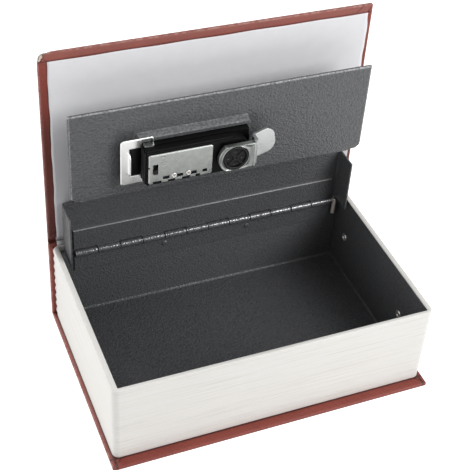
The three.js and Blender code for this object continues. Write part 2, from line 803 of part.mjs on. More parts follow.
// Knob with its spindle, cam latch and cap: these turn together

function addKnob(lock) {
  const start = bezelFace + slotGap;
  const base = bar('y', knobBaseRadius, start, start + knobBaseThickness, 0, 0, 36);
  const end = knobBarLength / 2 - knobBarWidth / 2;
  const outline = new THREE.Shape();
  outline.moveTo(-end, -knobBarWidth / 2);
  outline.lineTo(end, -knobBarWidth / 2);
  outline.absarc(end, 0, knobBarWidth / 2, -Math.PI / 2, Math.PI / 2, false);
  outline.lineTo(-end, knobBarWidth / 2);
  outline.absarc(-end, 0, knobBarWidth / 2, Math.PI / 2, 1.5 * Math.PI, false);
  const barStart = start + knobBaseThickness - 0.1;
  const grip = sheet(outline, -barStart - knobBarHeight, -barStart);
  const spindle = bar('y', spindleRadius, -camPocketFloor + slotGap, start + 0.1, 0, 0);
  addPiece(lock, 'turn_knob', wasm.Manifold.union([base, grip, spindle]), 'blackPlastic');
}

function camOutline() {
  const corner = Math.asin(camHalfHeight / camArc);
  const shape = new THREE.Shape();
  shape.moveTo(camEdge, -camHalfHeight);
  shape.lineTo(camEdge, camHalfHeight);
  shape.absarc(0, 0, camArc, Math.PI - corner, Math.PI + corner, false);
  return shape;
}

function tongueOutline() {
  const angle = THREE.MathUtils.degToRad(tongueEdgeAngle);
  const webOuter = camEdge + camChamfer;
  const shape = new THREE.Shape();
  shape.moveTo(camEdge, -camHalfHeight);
  shape.quadraticCurveTo(tongueRadius - 1, -camHalfHeight, tongueRadius, 0);
  shape.absarc(0, 0, tongueRadius, 0, angle, false);
  shape.lineTo(webOuter, camHalfHeight);
  shape.lineTo(camEdge, camHalfHeight);
  return shape;
}

function addCam(lock) {
  const plate = sheet(camOutline(), camSeat, camTop, 16);
  const web = new THREE.Shape();
  web.moveTo(camEdge - 0.1, -camTop);
  web.lineTo(camEdge, -camTop);
  web.lineTo(camEdge + camChamfer, -camSeat);
  web.lineTo(camEdge + camChamfer, -tongueDepth);
  web.lineTo(camEdge, -tongueDepth);
  web.lineTo(camEdge, -camSeat);
  web.lineTo(camEdge - 0.1, -camSeat);
  const webOptions = { depth: 2 * camHalfHeight, bevelEnabled: false };
  const webGeometry = new THREE.ExtrudeGeometry(web, webOptions).translate(0, 0, -camHalfHeight);
  const tongue = sheet(tongueOutline(), tongueDepth, tongueDepth + tongueThickness, 12);
  const pocketRadius = capRadius + slotGap;
  const pocket = bar('y', pocketRadius, -camTop - 1, -camPocketFloor, 0, 0, 36);
  const hole = bar('y', spindleRadius + fitGap, -camTop - 1, -camSeat + 1, 0, 0);
  const cam = wasm.Manifold.union([plate, toSolid(webGeometry), tongue]);
  addPiece(lock, 'cam_latch', cam.subtract(pocket).subtract(hole), 'zincPlate');

  const cap = bar('y', capRadius, -camTop - capProud, -camPocketFloor - glueLine, 0, 0, 36);
  addPiece(lock, 'cam_cap', cap, 'blackPlastic');
}

// The clip is pushed over the left end of the body and clamps it against the lid.
function addClip(lock) {
  const left = -windowLeft - clipReach;
  const right = -windowLeft + clipGrip;
  const near = bossDepth + glueLine;
  const outline = roundedOutline([left, right], around(0, clipHalfHeight), clipCorner);
  const outer = sheet(outline, near, near + clipSheet);
  const mouth = block(
    [left + clipWeb, -windowLeft + 0.1],
    [-near - clipSheet - 1, -near + 1],
    around(0, clipMouthHalfHeight),
  );
  const grip = block(
    [-windowLeft, right + 1],
    [-near - clipSheet - 1, -near + 1],
    around(0, windowHalfHeight),
  );
  const lip = block(
    [left + clipWeb - clipSheet, left + clipWeb],
    [-near - clipSheet - clipLip, -near - clipSheet + 0.1],
    around(0, clipLipHalfHeight),
  );
  addPiece(lock, 'retaining_clip', outer.subtract(mouth).subtract(grip).add(lip), 'chrome');
}

// Strike bracket: the cam turns under its lip, and the closed lid rests on its upper edge

function strikePlaces() {
  return [-1, 1].map((end) => strikeShift + (end * strikeRivetSpacing) / 2);
}

function strikeLevels() {
  const lipUnderside = hingeZ - lockPlateOffset - tongueDepth + strikeGap;
  const legTop = hingeZ - lockPlateOffset - lidRestGap;
  return { lipUnderside, legTop, rivetLevel: (lipUnderside + strikeSheet + legTop) / 2 };
}

function strikeHoles() {
  const { rivetLevel } = strikeLevels();
  const to = boxInnerFront + glueLine + strikeSheet + 1;
  const holes = strikePlaces().map((x) => {
    return bar('y', strikeRivetRadius + fitGap, boxFront - 1, to, x, rivetLevel, 16);
  });
  return wasm.Manifold.union(holes);
}

function addStrike(book) {
  const { lipUnderside, legTop, rivetLevel } = strikeLevels();
  const x = around(strikeShift, strikeWidth / 2);
  const back = boxInnerFront + glueLine;
  const leg = block(x, [back, back + strikeSheet], [lipUnderside, legTop]);
  const lip = block(x, [back, back + strikeLip], [lipUnderside, lipUnderside + strikeSheet]);
  addPiece(book, 'strike_bracket', leg.add(lip).subtract(strikeHoles()), 'powderCoat');

  const length = strikeSheet + glueLine + boxSheet;
  strikePlaces().forEach((place, i) => {
    const geometry = rivet(strikeRivetRadius, length, strikeRivetHeadRadius, strikeRivetHeadHeight);
    geometry.rotateX(Math.PI);
    const mesh = addPiece(book, `strike_rivet_${i + 1}`, toSolid(geometry), 'bareSteel');
    mesh.position.set(place, back + strikeSheet + glueLine, rivetLevel);
  });
}

// Assembly

const book = new THREE.Group();
const lid = new THREE.Group();
lid.position.set(0, hingeY, hingeZ);
book.add(lid);
const lock = new THREE.Group();
lock.position.set(spindleShift, -lockPlateOffset, lockReach);
lid.add(lock);

addBackCover(book);
addSpine(book);
addFrontCover(book);
addCasing(book);
addBox(book);
addStrike(book);
addHinge(book, lid);
addLid(lid);
addLockBody(lock);
addDials(lock);
addCoverPlate(lock);
addDetentSpring(lock);
addCodeLever(lock);
addBezel(lock);
addKnob(lock);
addCam(lock);
addClip(lock);

export default book;
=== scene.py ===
# %% [markdown]
# # A book that hides a cash box
# This lesson dresses a finished CAD model of a book safe. The book lies open on its back cover:
# a moulded casing looks like a block of pages, a steel box sits inside it, and a steel lid with
# a three-dial lock stands up in front of the open cover. The CAD model is loaded first, as a frame
# whose pieces already have the right place and size. Each later step gives one part of the real
# object its surface, either with a material on the CAD piece or with a finer piece in its place.

import functools
import json
import math

import bpy
import numpy as np
from mathutils import Matrix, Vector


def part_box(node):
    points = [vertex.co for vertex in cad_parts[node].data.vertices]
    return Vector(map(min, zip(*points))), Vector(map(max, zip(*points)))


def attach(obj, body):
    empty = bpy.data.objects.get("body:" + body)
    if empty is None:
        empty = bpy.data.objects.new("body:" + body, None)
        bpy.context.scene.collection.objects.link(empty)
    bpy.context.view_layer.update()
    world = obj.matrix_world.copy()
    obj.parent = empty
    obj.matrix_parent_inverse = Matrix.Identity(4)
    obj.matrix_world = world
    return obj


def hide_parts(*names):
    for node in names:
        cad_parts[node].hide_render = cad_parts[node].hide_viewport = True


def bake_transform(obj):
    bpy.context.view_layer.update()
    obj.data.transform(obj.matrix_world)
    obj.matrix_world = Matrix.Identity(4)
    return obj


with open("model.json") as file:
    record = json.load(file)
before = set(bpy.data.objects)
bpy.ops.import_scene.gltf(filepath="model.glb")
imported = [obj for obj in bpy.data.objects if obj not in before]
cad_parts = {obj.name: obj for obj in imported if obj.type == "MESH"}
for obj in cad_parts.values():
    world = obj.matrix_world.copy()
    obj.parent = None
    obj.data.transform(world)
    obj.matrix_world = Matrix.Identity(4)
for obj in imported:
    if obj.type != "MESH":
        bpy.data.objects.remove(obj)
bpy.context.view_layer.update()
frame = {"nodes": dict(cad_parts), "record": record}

# %% [markdown]
# Blender counts in metres and the drawing in millimetres, so one function reads a CAD piece's box
# in millimetres. The finer pieces take their main sizes from such boxes.
# The scale of a pattern is PER_MM divided by the size of its features in millimetres.

# %% Read sizes from the frame
MM = 0.001
PER_MM = 1000


def span(cad_piece):
    """Lowest and highest corner of a CAD piece, in millimetres."""
    low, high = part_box(cad_piece)
    return np.array(low) / MM, np.array(high) / MM


casing_low, casing_high = span("page_block_casing")
print("casing, millimetres:", casing_low.round(2), casing_high.round(2))

# %% [markdown]
# The photograph was taken with a long lens from the front left, a little above the open cover.
# The camera's place and direction come from matching the corners of the casing, the lid and the
# covers. The two small shifts are there because the picture was cropped a little off its centre.

# %% Camera


def put_in_scene(name, data):
    """A new object with this data, linked to the scene."""
    made = bpy.data.objects.new(name, data)
    bpy.context.scene.collection.objects.link(made)
    return made


camera_data = bpy.data.cameras.new("camera")
camera_data.sensor_width = 36
camera_data.lens = 86.76
camera_data.shift_x, camera_data.shift_y = 0.0040, 0.0033
camera = put_in_scene("camera", camera_data)
bpy.context.scene.camera = camera

azimuth, elevation, roll = np.radians([-24.642, 40.658, 4.471])
forward = np.array([
    -np.sin(azimuth) * np.cos(elevation),
    np.cos(azimuth) * np.cos(elevation),
    -np.sin(elevation),
])
level = np.cross(forward, [0, 0, 1])
level /= np.linalg.norm(level)
rise = np.cross(level, forward)
right = np.cos(roll) * level + np.sin(roll) * rise
up = np.cos(roll) * rise - np.sin(roll) * level
target_in_view = np.array([1.252, -61.746, 624.54])
eye = -target_in_view @ np.stack([right, up, forward])
camera.matrix_world = Matrix([*np.stack([right, up, -forward, eye * MM], -1).tolist(), [0, 0, 0, 1]])
print("camera at, millimetres:", eye.round(1))

# %% [markdown]
# Materials are built from nodes. One small function adds a node: values in order fill its sockets, a
# name with a capital is a socket too, and any other name is a property of the node. Colours are
# written as people write them, sRGB hex values, and become the linear values that Blender expects.


def linear(hex_colour):
    """sRGB hex to linear RGBA: c / 12.92 below 0.04045, else ((c + 0.055) / 1.055) to the power 2.4."""
    c = np.array([int(hex_colour[i:i + 2], 16) for i in (1, 3, 5)]) / 255
    c = np.where(c <= 0.04045, c / 12.92, ((c + 0.055) / 1.055) ** 2.4)
    return (*c.tolist(), 1.0)


def fill(made, sockets):
    """Fills a node's input sockets: an output is linked, a hex colour or a number is written."""
    for name, value in sockets.items():
        if isinstance(value, bpy.types.NodeSocket):
            made.id_data.links.new(value, made.inputs[name])
        else:
            made.inputs[name].default_value = linear(value) if isinstance(value, str) else value


def add(tree, kind, *values, **named):
    """Adds a node and gives its first live output. The values fill its live inputs in order."""
    made = tree.nodes.new("ShaderNode" + kind)
    for name in [name for name in named if name[0].islower()]:
        setattr(made, name, named.pop(name))
    live = [number for number, socket in enumerate(made.inputs) if socket.enabled]
    fill(made, {**dict(zip(live, values)), **named})
    return next((socket for socket in made.outputs if socket.enabled), None)


def new_material(name):
    """An empty material, its add function, its Principled shader and the Object coordinates."""
    material = bpy.data.materials.new(name)
    material.use_nodes = True
    node = functools.partial(add, material.node_tree)
    material.node_tree.nodes.clear()
    surface = node("BsdfPrincipled")
    node("OutputMaterial", Surface=surface)
    print("material:", name)
    return material, node, surface.node, node("TexCoord").node.outputs["Object"]


def strongest(node, marks):
    """The largest of several marks. A mark is a strength multiplied by each of its masks."""
    largest = 0.0
    for strength, *masks in marks:
        for mask in masks:
            strength = node("Math", strength, mask, operation="MULTIPLY")
        largest = node("Math", largest, strength, operation="MAXIMUM")
    return largest


# %% [markdown]
# ## Book leatherette
# The covers are boards wrapped in a reddish-brown book leatherette: paper coated with a thin film
# and embossed with a fine pebbled grain. The real grain is about 0.5 mm, which is close to one pixel
# of the picture, so it is drawn at 0.8 mm. A slow noise makes the colour a little uneven, and the
# valleys of the grain are darker. The bump is shallow, because the film is thin.

# %% Leatherette
leatherette, node, shader, where = new_material("embossed book leatherette")
pebble = node("TexVoronoi", Vector=where, Scale=PER_MM / 0.8, Randomness=1.0, feature="SMOOTH_F1")
pores = node("TexNoise", Vector=where, Scale=PER_MM / 0.5, Detail=3.0)
clouds = node("TexNoise", Vector=where, Scale=PER_MM / 18, Detail=4.0)
patches = node("TexNoise", Vector=where, Scale=PER_MM / 2.5, Detail=4.0)
relief = node("Math", pebble, pores, operation="ADD")
grain = node("Bump", Height=relief, Strength=0.4, Distance=0.14 * MM, invert=True)
valley = node("MapRange", pebble, 0.25, 0.75, 0.0, 0.35)
colour = node("Mix", clouds, "#7a3229", "#974537", data_type="RGBA")
colour = node("Mix", valley, colour, "#5a2620", data_type="RGBA")

# %% [markdown]
# Wear and painted light come from the place on the book. The film is rubbed pale along the outer edges,
# which also paints a highlight there, and a painted highlight lightens the top border. One corner of the
# front cover was dropped on, so that the pink paper under the film shows inside a dark outline. Painted
# shade darkens the fold beside the spine, a line beside the endpaper's edge, the border below it as the
# lid's shadow, and the folds across the corners. Painted contact shadow runs round the page block and
# along the edge on the table. Two tables give the places: bands round a value, and slopes from one value
# to another.

# %% Wear and painted shade of the leatherette
x, y, z = node("SeparateXYZ", where).node.outputs
side = node("Math", x, operation="ABSOLUTE")
along_pinch = node("Math", x, z, operation="SUBTRACT")
along_mitre = node("Math", side, y, operation="ADD")
from_corner = node("Mapping", Vector=where, Location=(88 * MM, 0, -169.8 * MM), Scale=(1, 0, 1))
to_corner = node("VectorMath", from_corner, operation="LENGTH")
ragged = node("Math", patches, 9 * MM, to_corner, operation="MULTIPLY_ADD")
inside = node("Math", y, 56.75 * MM, operation="LESS_THAN")
above_fold = node("Math", z, 57.0 * MM, operation="GREATER_THAN")
below_top = node("Math", z, 165.6 * MM, operation="LESS_THAN")
# The first six bands are painted shade: a shadow line beside the endpaper's left and top edge, shade in the folds
# across the corners, and contact shadow round the foot of the page block.
paper_edge_shade_left, paper_edge_shade_top, pinch, mitre, front_contact_shadow, at_ends, on_back_board = [
    node("Math", of, centre * MM, half * MM, operation="COMPARE") for of, centre, half in [
        (x, -83.7, 0.25), (z, 165.4, 0.25), (along_pinch, -87.2, 0.38), (along_mitre, 29.75, 0.3),
        (y, -52.5, 0.7), (side, 85.8, 0.6), (z, 1.9, 0.6)]]
# Among these slopes are a painted highlight on the top border, painted shade in the fold beside the spine, the lid's
# painted shadow on the border below the paper, and painted contact shadow along the edge on the table.
to_side, to_top, top_highlight, outline, bare, fold_shade, off_spine, lid_shadow_on_border, table_contact_shadow = [
    node("MapRange", of, start * MM, end * MM, *reach) for of, start, end, *reach in [
        (side, 87.2, 87.8, 0.0, 1.0), (z, 169.0, 169.6, 0.0, 1.0), (z, 165.8, 166.4, 0.0, 0.13),
        (ragged, 8.2, 8.8, 1.0, 0.0), (ragged, 7.1, 7.5, 1.0, 0.0), (z, 57.4, 56.0, 0.0, 0.6),
        (z, 51.5, 53.5, 0.0, 1.0), (z, 57.0, 168.0, 0.6, 0.0), (z, 0.3, 0.8, 0.75, 0.0)]]
in_patches = node("MapRange", patches, 0.42, 0.62, 0.1, 0.6)
# Pale where the outer edges are rubbed, which also paints a highlight there, and a painted highlight on the top
# border.
wear_and_highlight = strongest(node, [(1.0, to_side, in_patches), (1.0, to_top, in_patches), (1.0, top_highlight)])
# One dark tone for all the painted shade and shadow.
painted_shade = strongest(node, [
    (0.65, paper_edge_shade_left, below_top, inside, above_fold), (0.65, paper_edge_shade_top, inside, above_fold),
    (1.0, fold_shade, off_spine), (1.0, lid_shadow_on_border, inside, above_fold),
    (0.7, pinch, inside, above_fold), (0.7, mitre, on_back_board),
    (0.8, front_contact_shadow, on_back_board), (0.8, at_ends, on_back_board), (1.0, table_contact_shadow)])
for amount, tone in [(wear_and_highlight, "#c49c92"), (painted_shade, "#2a100d"), (outline, "#3c1714"), (bare, "#e6cabf")]:
    colour = node("Mix", amount, colour, tone, data_type="RGBA")
fill(shader, {"Base Color": colour, "Normal": grain, "Roughness": 0.5, "IOR": 1.48})
print("nodes of the leatherette:", len(leatherette.node_tree.nodes))

# %% [markdown]
# ## Papers and board
# The inside of the front cover is lined with a smooth pale endpaper. Its fibres are far too fine to
# see, so only a faint mottle of a few millimetres and a weak bump keep it from looking like plastic.
# The sheet is painted greyer towards the fold, as the lid's shadow.
# The grey bookbinding board shows nowhere but in the seams.

# %% Paper and board
endpaper, node, shader, where = new_material("coated endpaper")
mottle = node("TexNoise", Vector=where, Scale=PER_MM / 6, Detail=5.0)
fibre = node("TexNoise", Vector=where, Scale=PER_MM / 0.7, Detail=3.0)
x, y, z = node("SeparateXYZ", where).node.outputs
# Painted shadow of the lid, greyer towards the fold.
lid_shadow_to_fold = node("MapRange", z, 54 * MM, 120 * MM, 0.6, 0.0)
tint = node("Mix", mottle, "#e6e6e9", "#eeeef1", data_type="RGBA")
tint = node("Mix", lid_shadow_to_fold, tint, "#a4a4a8", data_type="RGBA")
nap = node("Bump", Height=fibre, Strength=0.1, Distance=0.05 * MM)
fill(shader, {"Base Color": tint, "Normal": nap, "Roughness": 0.7, "IOR": 1.5})

greyboard, node, shader, where = new_material("grey bookbinding board")
fluff = node("TexNoise", Vector=where, Scale=PER_MM / 1.2, Detail=6.0)
fill(shader, {"Base Color": node("Mix", fluff, "#7d746a", "#9a9085", data_type="RGBA"), "Roughness": 0.9})

# %% [markdown]
# ## Moulded page block
# The page block is one moulding of off-white plastic with fine lines that look like page edges.
# A noise that is stretched along the lines draws them: it changes every 0.6 mm upwards and only every
# 60 mm along the block. The same noise gives the bump, so that a line that looks dark is also a
# groove, and a slow noise tints some pages warmer than others. On the two ends the lines are fainter.

# %% Page plastic
page_plastic, node, shader, where = new_material("moulded page plastic")
stretched = node("Mapping", Vector=where, Scale=(PER_MM / 60, PER_MM / 60, PER_MM / 0.62))
lines = node("TexNoise", Vector=stretched, Scale=1.0, Detail=3.0, Roughness=0.6)
quires = node("Mapping", Vector=where, Scale=(PER_MM / 90, PER_MM / 90, PER_MM / 5))
warmth = node("TexNoise", Vector=quires, Scale=1.0, Detail=2.0)
groove = node("MapRange", lines, 0.30, 0.46, 0.0, 1.0)
x, y, z = node("SeparateXYZ", where).node.outputs
at_ends = node("MapRange", node("Math", x, operation="ABSOLUTE"), 83 * MM, 85.6 * MM, 0.0, 0.75)
shown = node("Math", groove, at_ends, operation="MAXIMUM")
tint = node("Mix", warmth, "#edece9", "#ece9e3", data_type="RGBA")
tint = node("Mix", shown, "#dbd8d2", tint, data_type="RGBA")
furrow = node("Bump", Height=lines, Strength=0.25, Distance=0.12 * MM)
fill(shader, {"Base Color": tint, "Normal": furrow, "Roughness": 0.55, "IOR": 1.5})

# %% [markdown]
# ## Powder-coated steel
# The box, the lid and the hinge are steel with a dark grey textured powder coat. The powder melts
# into small smooth hills about 0.7 mm across, which catch the light as a fine glitter. Smooth
# Voronoi cells of 0.95 mm, so that they show, give the hills, and a noise of about the same size
# breaks them up. The paint is a dielectric, so metallic stays at zero and the glitter comes from the
# bump and a moderate roughness.

# %% Powder coat
powder_coat, node, shader, where = new_material("textured powder coat on steel")
hills = node("TexVoronoi", Vector=where, Scale=PER_MM / 0.95, Randomness=1.0, feature="SMOOTH_F1")
ripple = node("TexNoise", Vector=where, Scale=PER_MM / 1.1, Detail=3.0)
texture = node("Math", hills, ripple, operation="ADD")
tint = node("Mix", node("MapRange", texture, 0.5, 1.3, 0.0, 1.0), "#616264", "#4c4d4f", data_type="RGBA")
orange_peel = node("Bump", Height=texture, Strength=0.8, Distance=0.36 * MM, invert=True)
fill(shader, {"Base Color": tint, "Normal": orange_peel, "Roughness": 0.38, "IOR": 1.5})

# %% [markdown]
# Steel shows where the coat is rubbed through, and the same bare steel paints the highlights of these
# edges. On the hinge that is the top edge of the upper leaf and the crown of each knuckle, where it breaks
# into bright specks. The crown is found from the distance out of the pin's line towards the front and the
# top. On the lid it is the bend of its rolled edges and the upper edge of the boss. Each is a copy of the
# coat with a mask of its own.

# %% Rubbed coats with painted highlights
hinge_y, hinge_z = 51.8, 46.4


def rubbed_coat(name, mask, bare_colour):
    """A copy of the powder coat that is half bare steel, worn and a painted highlight, where mask(node, where, x, y,
    z) is one.
    """
    made = powder_coat.copy()
    made.name = name
    of_kind = {each.type: each for each in made.node_tree.nodes}
    shader, where = of_kind["BSDF_PRINCIPLED"], of_kind["TEX_COORD"].outputs["Object"]
    node = functools.partial(add, made.node_tree)
    # The mask marks worn steel that is also a painted highlight.
    wear_and_highlight = mask(node, where, *node("SeparateXYZ", where).node.outputs)
    coat = shader.inputs["Base Color"].links[0].from_socket
    fill(shader, {"Base Color": node("Mix", wear_and_highlight, coat, bare_colour, data_type="RGBA"),
                  "Metallic": node("Math", wear_and_highlight, 0.5, operation="MULTIPLY")})
    print("material:", name)
    return made


def hinge_mask(node, where, x, y, z):
    """Worn steel and painted highlight on the crown of the knuckles, in specks that close up towards the right, and
    on the leaf's top edge.
    """
    outwards = node("Math", z, y, operation="SUBTRACT")
    crown_start = hinge_z - hinge_y + 2.63
    crown = node("MapRange", outwards, crown_start * MM, (crown_start + 0.03) * MM, 0.0, 1.0)
    on_knuckle = node("Math", z, 48.35 * MM, operation="LESS_THAN")
    specks = node("TexNoise", Vector=where, Scale=PER_MM / 0.9, Detail=1.0)
    denser = node("Math", x, 1.1, specks, operation="MULTIPLY_ADD")
    bright = node("MapRange", denser, 0.47, 0.53, 0.04, 1.0)
    top_edge = node("MapRange", z, 61.0 * MM, 61.1 * MM, 0.0, 0.75)
    return strongest(node, [(1.0, crown, on_knuckle, bright), (1.0, top_edge)])


def lid_mask(node, where, x, y, z):
    """Painted highlight lines, worn to steel too, along the top of the lock plate, down its sides and along the
    boss, all broken by noise.
    """
    breaks = node("TexNoise", Vector=where, Scale=PER_MM / 1.4, Detail=3.0)
    wear_and_highlight_breaks = node("MapRange", breaks, 0.35, 0.6, 0.3, 1.0)
    above_fold = node("Math", z, 95 * MM, operation="GREATER_THAN")
    top, sides, boss, on_boss = [
        node("Math", of, centre * MM, half * MM, operation="COMPARE") for of, centre, half in [
            (z, 146.35, 0.45), (node("Math", x, operation="ABSOLUTE"), 79.55, 0.3), (z, 130.5, 0.6),
            (x, -17, 29)]]
    return strongest(node, [(0.7, top, wear_and_highlight_breaks), (0.4, sides, above_fold, wear_and_highlight_breaks),
                            (0.5, boss, on_boss, wear_and_highlight_breaks)])


hinge_coat = rubbed_coat("worn powder coat with painted highlights on the hinge", hinge_mask, "#c9c9cb")
lid_coat = rubbed_coat("powder coat rubbed along the lid's edges", lid_mask, "#b4b5b8")

# %% [markdown]
# ## Bare metals
# Three bright metals are in the lock. The cover plate and the cam are steel with a zinc plating that
# keeps faint rolling marks and is duller where it is handled, and the cam's copy is darker all over. The
# clip and the outer bezel are nickel plated and smoother, and the rivets and pins are plain steel. All are
# metals, so metallic is one, the IOR stays at its default, and the colour is the reflection's colour.
# Noise in the roughness gives the handled, cloudy look. The hinge's pin is black where it runs inside
# the knuckles. Its bent end is dull with a thin skin of oxide, so it is only partly a mirror.

# %% Metals


def zinc_plating(name, mark_length, mark_pitch, cloud_size, detail, dark, pale, haze_range, strength, depth):
    """Zinc on rolled steel: a noise stretched along X gives the marks, clouds the colour and roughness."""
    made, node, shader, where = new_material(name)
    rolled = node("Mapping", Vector=where, Scale=(PER_MM / mark_length, PER_MM / mark_length, PER_MM / mark_pitch))
    marks = node("TexNoise", Vector=rolled, Scale=1.0, Detail=3.0)
    cloud = node("TexNoise", Vector=where, Scale=PER_MM / cloud_size, Detail=detail)
    fill(shader, {"Base Color": node("Mix", cloud, dark, pale, data_type="RGBA"), "Metallic": 1.0,
                  "Roughness": node("MapRange", cloud, 0.3, 0.7, *haze_range),
                  "Normal": node("Bump", Height=marks, Strength=strength, Distance=depth * MM)})
    return made


zinc_plate = zinc_plating("bright zinc plating on steel", 12, 0.35, 5, 4.0, "#b4b7b8", "#dcdedd",
                          (0.26, 0.42), 0.12, 0.05)
dull_zinc = zinc_plating("dulled zinc plating on steel", 14, 0.4, 3.5, 5.0, "#7f8487", "#bfc0ba",
                         (0.24, 0.46), 0.2, 0.06)
# The cam's copy is darker all over.
cam_zinc = zinc_plating("darker zinc plating on the cam", 14, 0.4, 3.5, 5.0, "#6d7173", "#a6a8a3",
                        (0.24, 0.46), 0.2, 0.06)

nickel_plate, node, shader, where = new_material("satin nickel plating")
cloud = node("TexNoise", Vector=where, Scale=PER_MM / 4, Detail=3.0)
pits = node("TexNoise", Vector=where, Scale=PER_MM / 0.5, Detail=2.0)
fill(shader, {"Base Color": "#e6e6e5", "Metallic": 1.0, "Roughness": node("MapRange", cloud, 0.3, 0.7, 0.28, 0.4),
              "Normal": node("Bump", Height=pits, Strength=0.08, Distance=0.05 * MM)})

blued_steel, node, shader, where = new_material("blued spring steel")
temper = node("TexNoise", Vector=where, Scale=PER_MM / 3, Detail=3.0)
fill(shader, {"Base Color": node("Mix", temper, "#1d2027", "#33363c", data_type="RGBA"),
              "Roughness": 0.38, "Metallic": 1.0})

bare_steel, node, shader, where = new_material("plain drawn steel")
scuff = node("TexNoise", Vector=where, Scale=PER_MM / 0.9, Detail=4.0)
fill(shader, {"Base Color": "#d6d2ce", "Metallic": 1.0, "Roughness": node("MapRange", scuff, 0.3, 0.7, 0.36, 0.54)})

pin_steel, node, shader, where = new_material("drawn steel pin, black in the knuckles")
drawn = node("TexNoise", Vector=where, Scale=PER_MM / 1.1, Detail=3.0)
x, y, z = node("SeparateXYZ", where).node.outputs
# Black where the pin runs inside the knuckles.
out_of_knuckles = node("MapRange", x, 76.5 * MM, 77.5 * MM, 0.0, 1.0)
skin = node("Mix", drawn, "#cdc2ba", "#f2eae3", data_type="RGBA")
fill(shader, {"Base Color": node("Mix", out_of_knuckles, "#1b1b1d", skin, data_type="RGBA"),
              "Metallic": 0.15, "Roughness": 0.35})

# %% [markdown]
# ## Moulded black plastic
# The lock's body, the dials, the knob and the cap are ABS, moulded with a fine spark-eroded texture.
# It is almost black and half glossy. A weak bump of 0.3 mm stands for the texture. The lock's body
# and its posts take a darker copy that hardly shines, as painted shade.

# %% Black plastic


def black_abs(name, tone, shine):
    """Almost black plastic with a weak eroded bump and a cloudy gloss."""
    made, node, shader, where = new_material(name)
    spark = node("TexNoise", Vector=where, Scale=PER_MM / 0.3, Detail=2.0)
    touched = node("TexNoise", Vector=where, Scale=PER_MM / 4, Detail=3.0)
    fill(shader, {"Base Color": tone, "Specular IOR Level": shine,
                  "Roughness": node("MapRange", touched, 0.3, 0.7, 0.38, 0.56),
                  "Normal": node("Bump", Height=spark, Strength=0.15, Distance=0.05 * MM)})
    return made


black_plastic = black_abs("black moulded ABS", "#080809", 0.33)
# A darker copy that hardly shines, as painted shade on the lock's body and its posts.
shaded_black_plastic = black_abs("black moulded ABS darkened as painted shade", "#050506", 0.16)

# %% [markdown]
# ## First coat for every CAD piece
# Each CAD piece names a material slot, so a table from slot to material dresses all of them. The CAD
# faces meet in perfect edges, which no sheet metal or moulding has. A Weld joins the loose triangles
# and a small Bevel rounds the edges, so that they catch the light as real ones do. The functions for
# this serve the finer sheets below too.

# %% Dress the CAD pieces
finish_for_slot = {"leatherette": leatherette, "greyboard": greyboard, "endpaper": endpaper,
                   "page_plastic": page_plastic, "powder_coat": powder_coat, "bare_steel": bare_steel,
                   "zinc_plate": zinc_plate, "chrome": nickel_plate, "black_plastic": black_plastic}
own_finish = {"dial_detent_spring": blued_steel, "lock_body": shaded_black_plastic}


def join_points(made, reach_mm):
    """Merges points that are closer than the reach."""
    made.modifiers.new("join", "WELD").merge_threshold = reach_mm * MM


def thicken(made, thickness_mm):
    """Gives a sheet its thickness behind the drawn face."""
    wall = made.modifiers.new("sheet", "SOLIDIFY")
    wall.thickness, wall.offset = thickness_mm * MM, -1


def break_edges(made, width_mm, angle):
    """Rounds the edges that are sharper than the angle, in degrees."""
    edge = made.modifiers.new("edge", "BEVEL")
    edge.width, edge.segments = width_mm * MM, 2
    edge.limit_method, edge.angle_limit = "ANGLE", math.radians(angle)


def sheet_metal(made, thickness_mm, edge_mm):
    """Joins the grids, gives the sheet its thickness and breaks its edges."""
    join_points(made, 0.01)
    thicken(made, thickness_mm)
    break_edges(made, edge_mm, 50)


slot_of = {part["node"]: part["material_slot"] for part in frame["record"]["subparts"]}
for name, cad_piece in frame["nodes"].items():
    cad_piece.data.materials.clear()
    cad_piece.data.materials.append(own_finish.get(name, finish_for_slot[slot_of[name]]))
    join_points(cad_piece, 0.002)
    break_edges(cad_piece, 0.12, 40)
print("dressed", len(slot_of), "CAD pieces")

# %% [markdown]
# ## Surfaces from numbers
# The finer pieces are surfaces worked out with numpy. A surface is a grid of points, row by row, and
# the faces only say which four neighbours belong together. A sheet is open or joined to itself, and a
# closed shape is a row of rings with a flat face on both ends. One function puts points and faces into
# Blender, gives the material, and ties the piece to its moving body.

# %% Grid and piece helpers


def grid(x, y, z):
    """Points from three coordinates, each spread over the rows and the columns of the others."""
    return np.stack(np.broadcast_arrays(x, y, z), -1)


def with_third(flat, value):
    """Adds a third coordinate to points (a, b), one value for each row."""
    return np.concatenate([flat, np.broadcast_to(np.reshape(value, (-1, 1, 1)), flat.shape[:2] + (1,))], -1)


def sheet(points, rows_close=False, columns_close=False, keep=None):
    """Points and their quads. A direction that closes joins its last line to its first. keep drops quads."""
    rows, columns = points.shape[:2]
    r, c = np.meshgrid(np.arange(rows - (not rows_close)), np.arange(columns - (not columns_close)),
                       indexing="ij")
    r_next, c_next = (r + 1) % rows, (c + 1) % columns
    quads = np.stack([r * columns + c, r * columns + c_next, r_next * columns + c_next,
                      r_next * columns + c], -1)
    return points, (quads.reshape(-1, 4) if keep is None else quads[keep]).tolist()


def closed(points):
    """Rings that follow each other, with a flat face on the first ring and on the last."""
    rows, columns = points.shape[:2]
    ends = [list(range(columns))[::-1], list(range((rows - 1) * columns, rows * columns))]
    return points, sheet(points, columns_close=True)[1] + ends


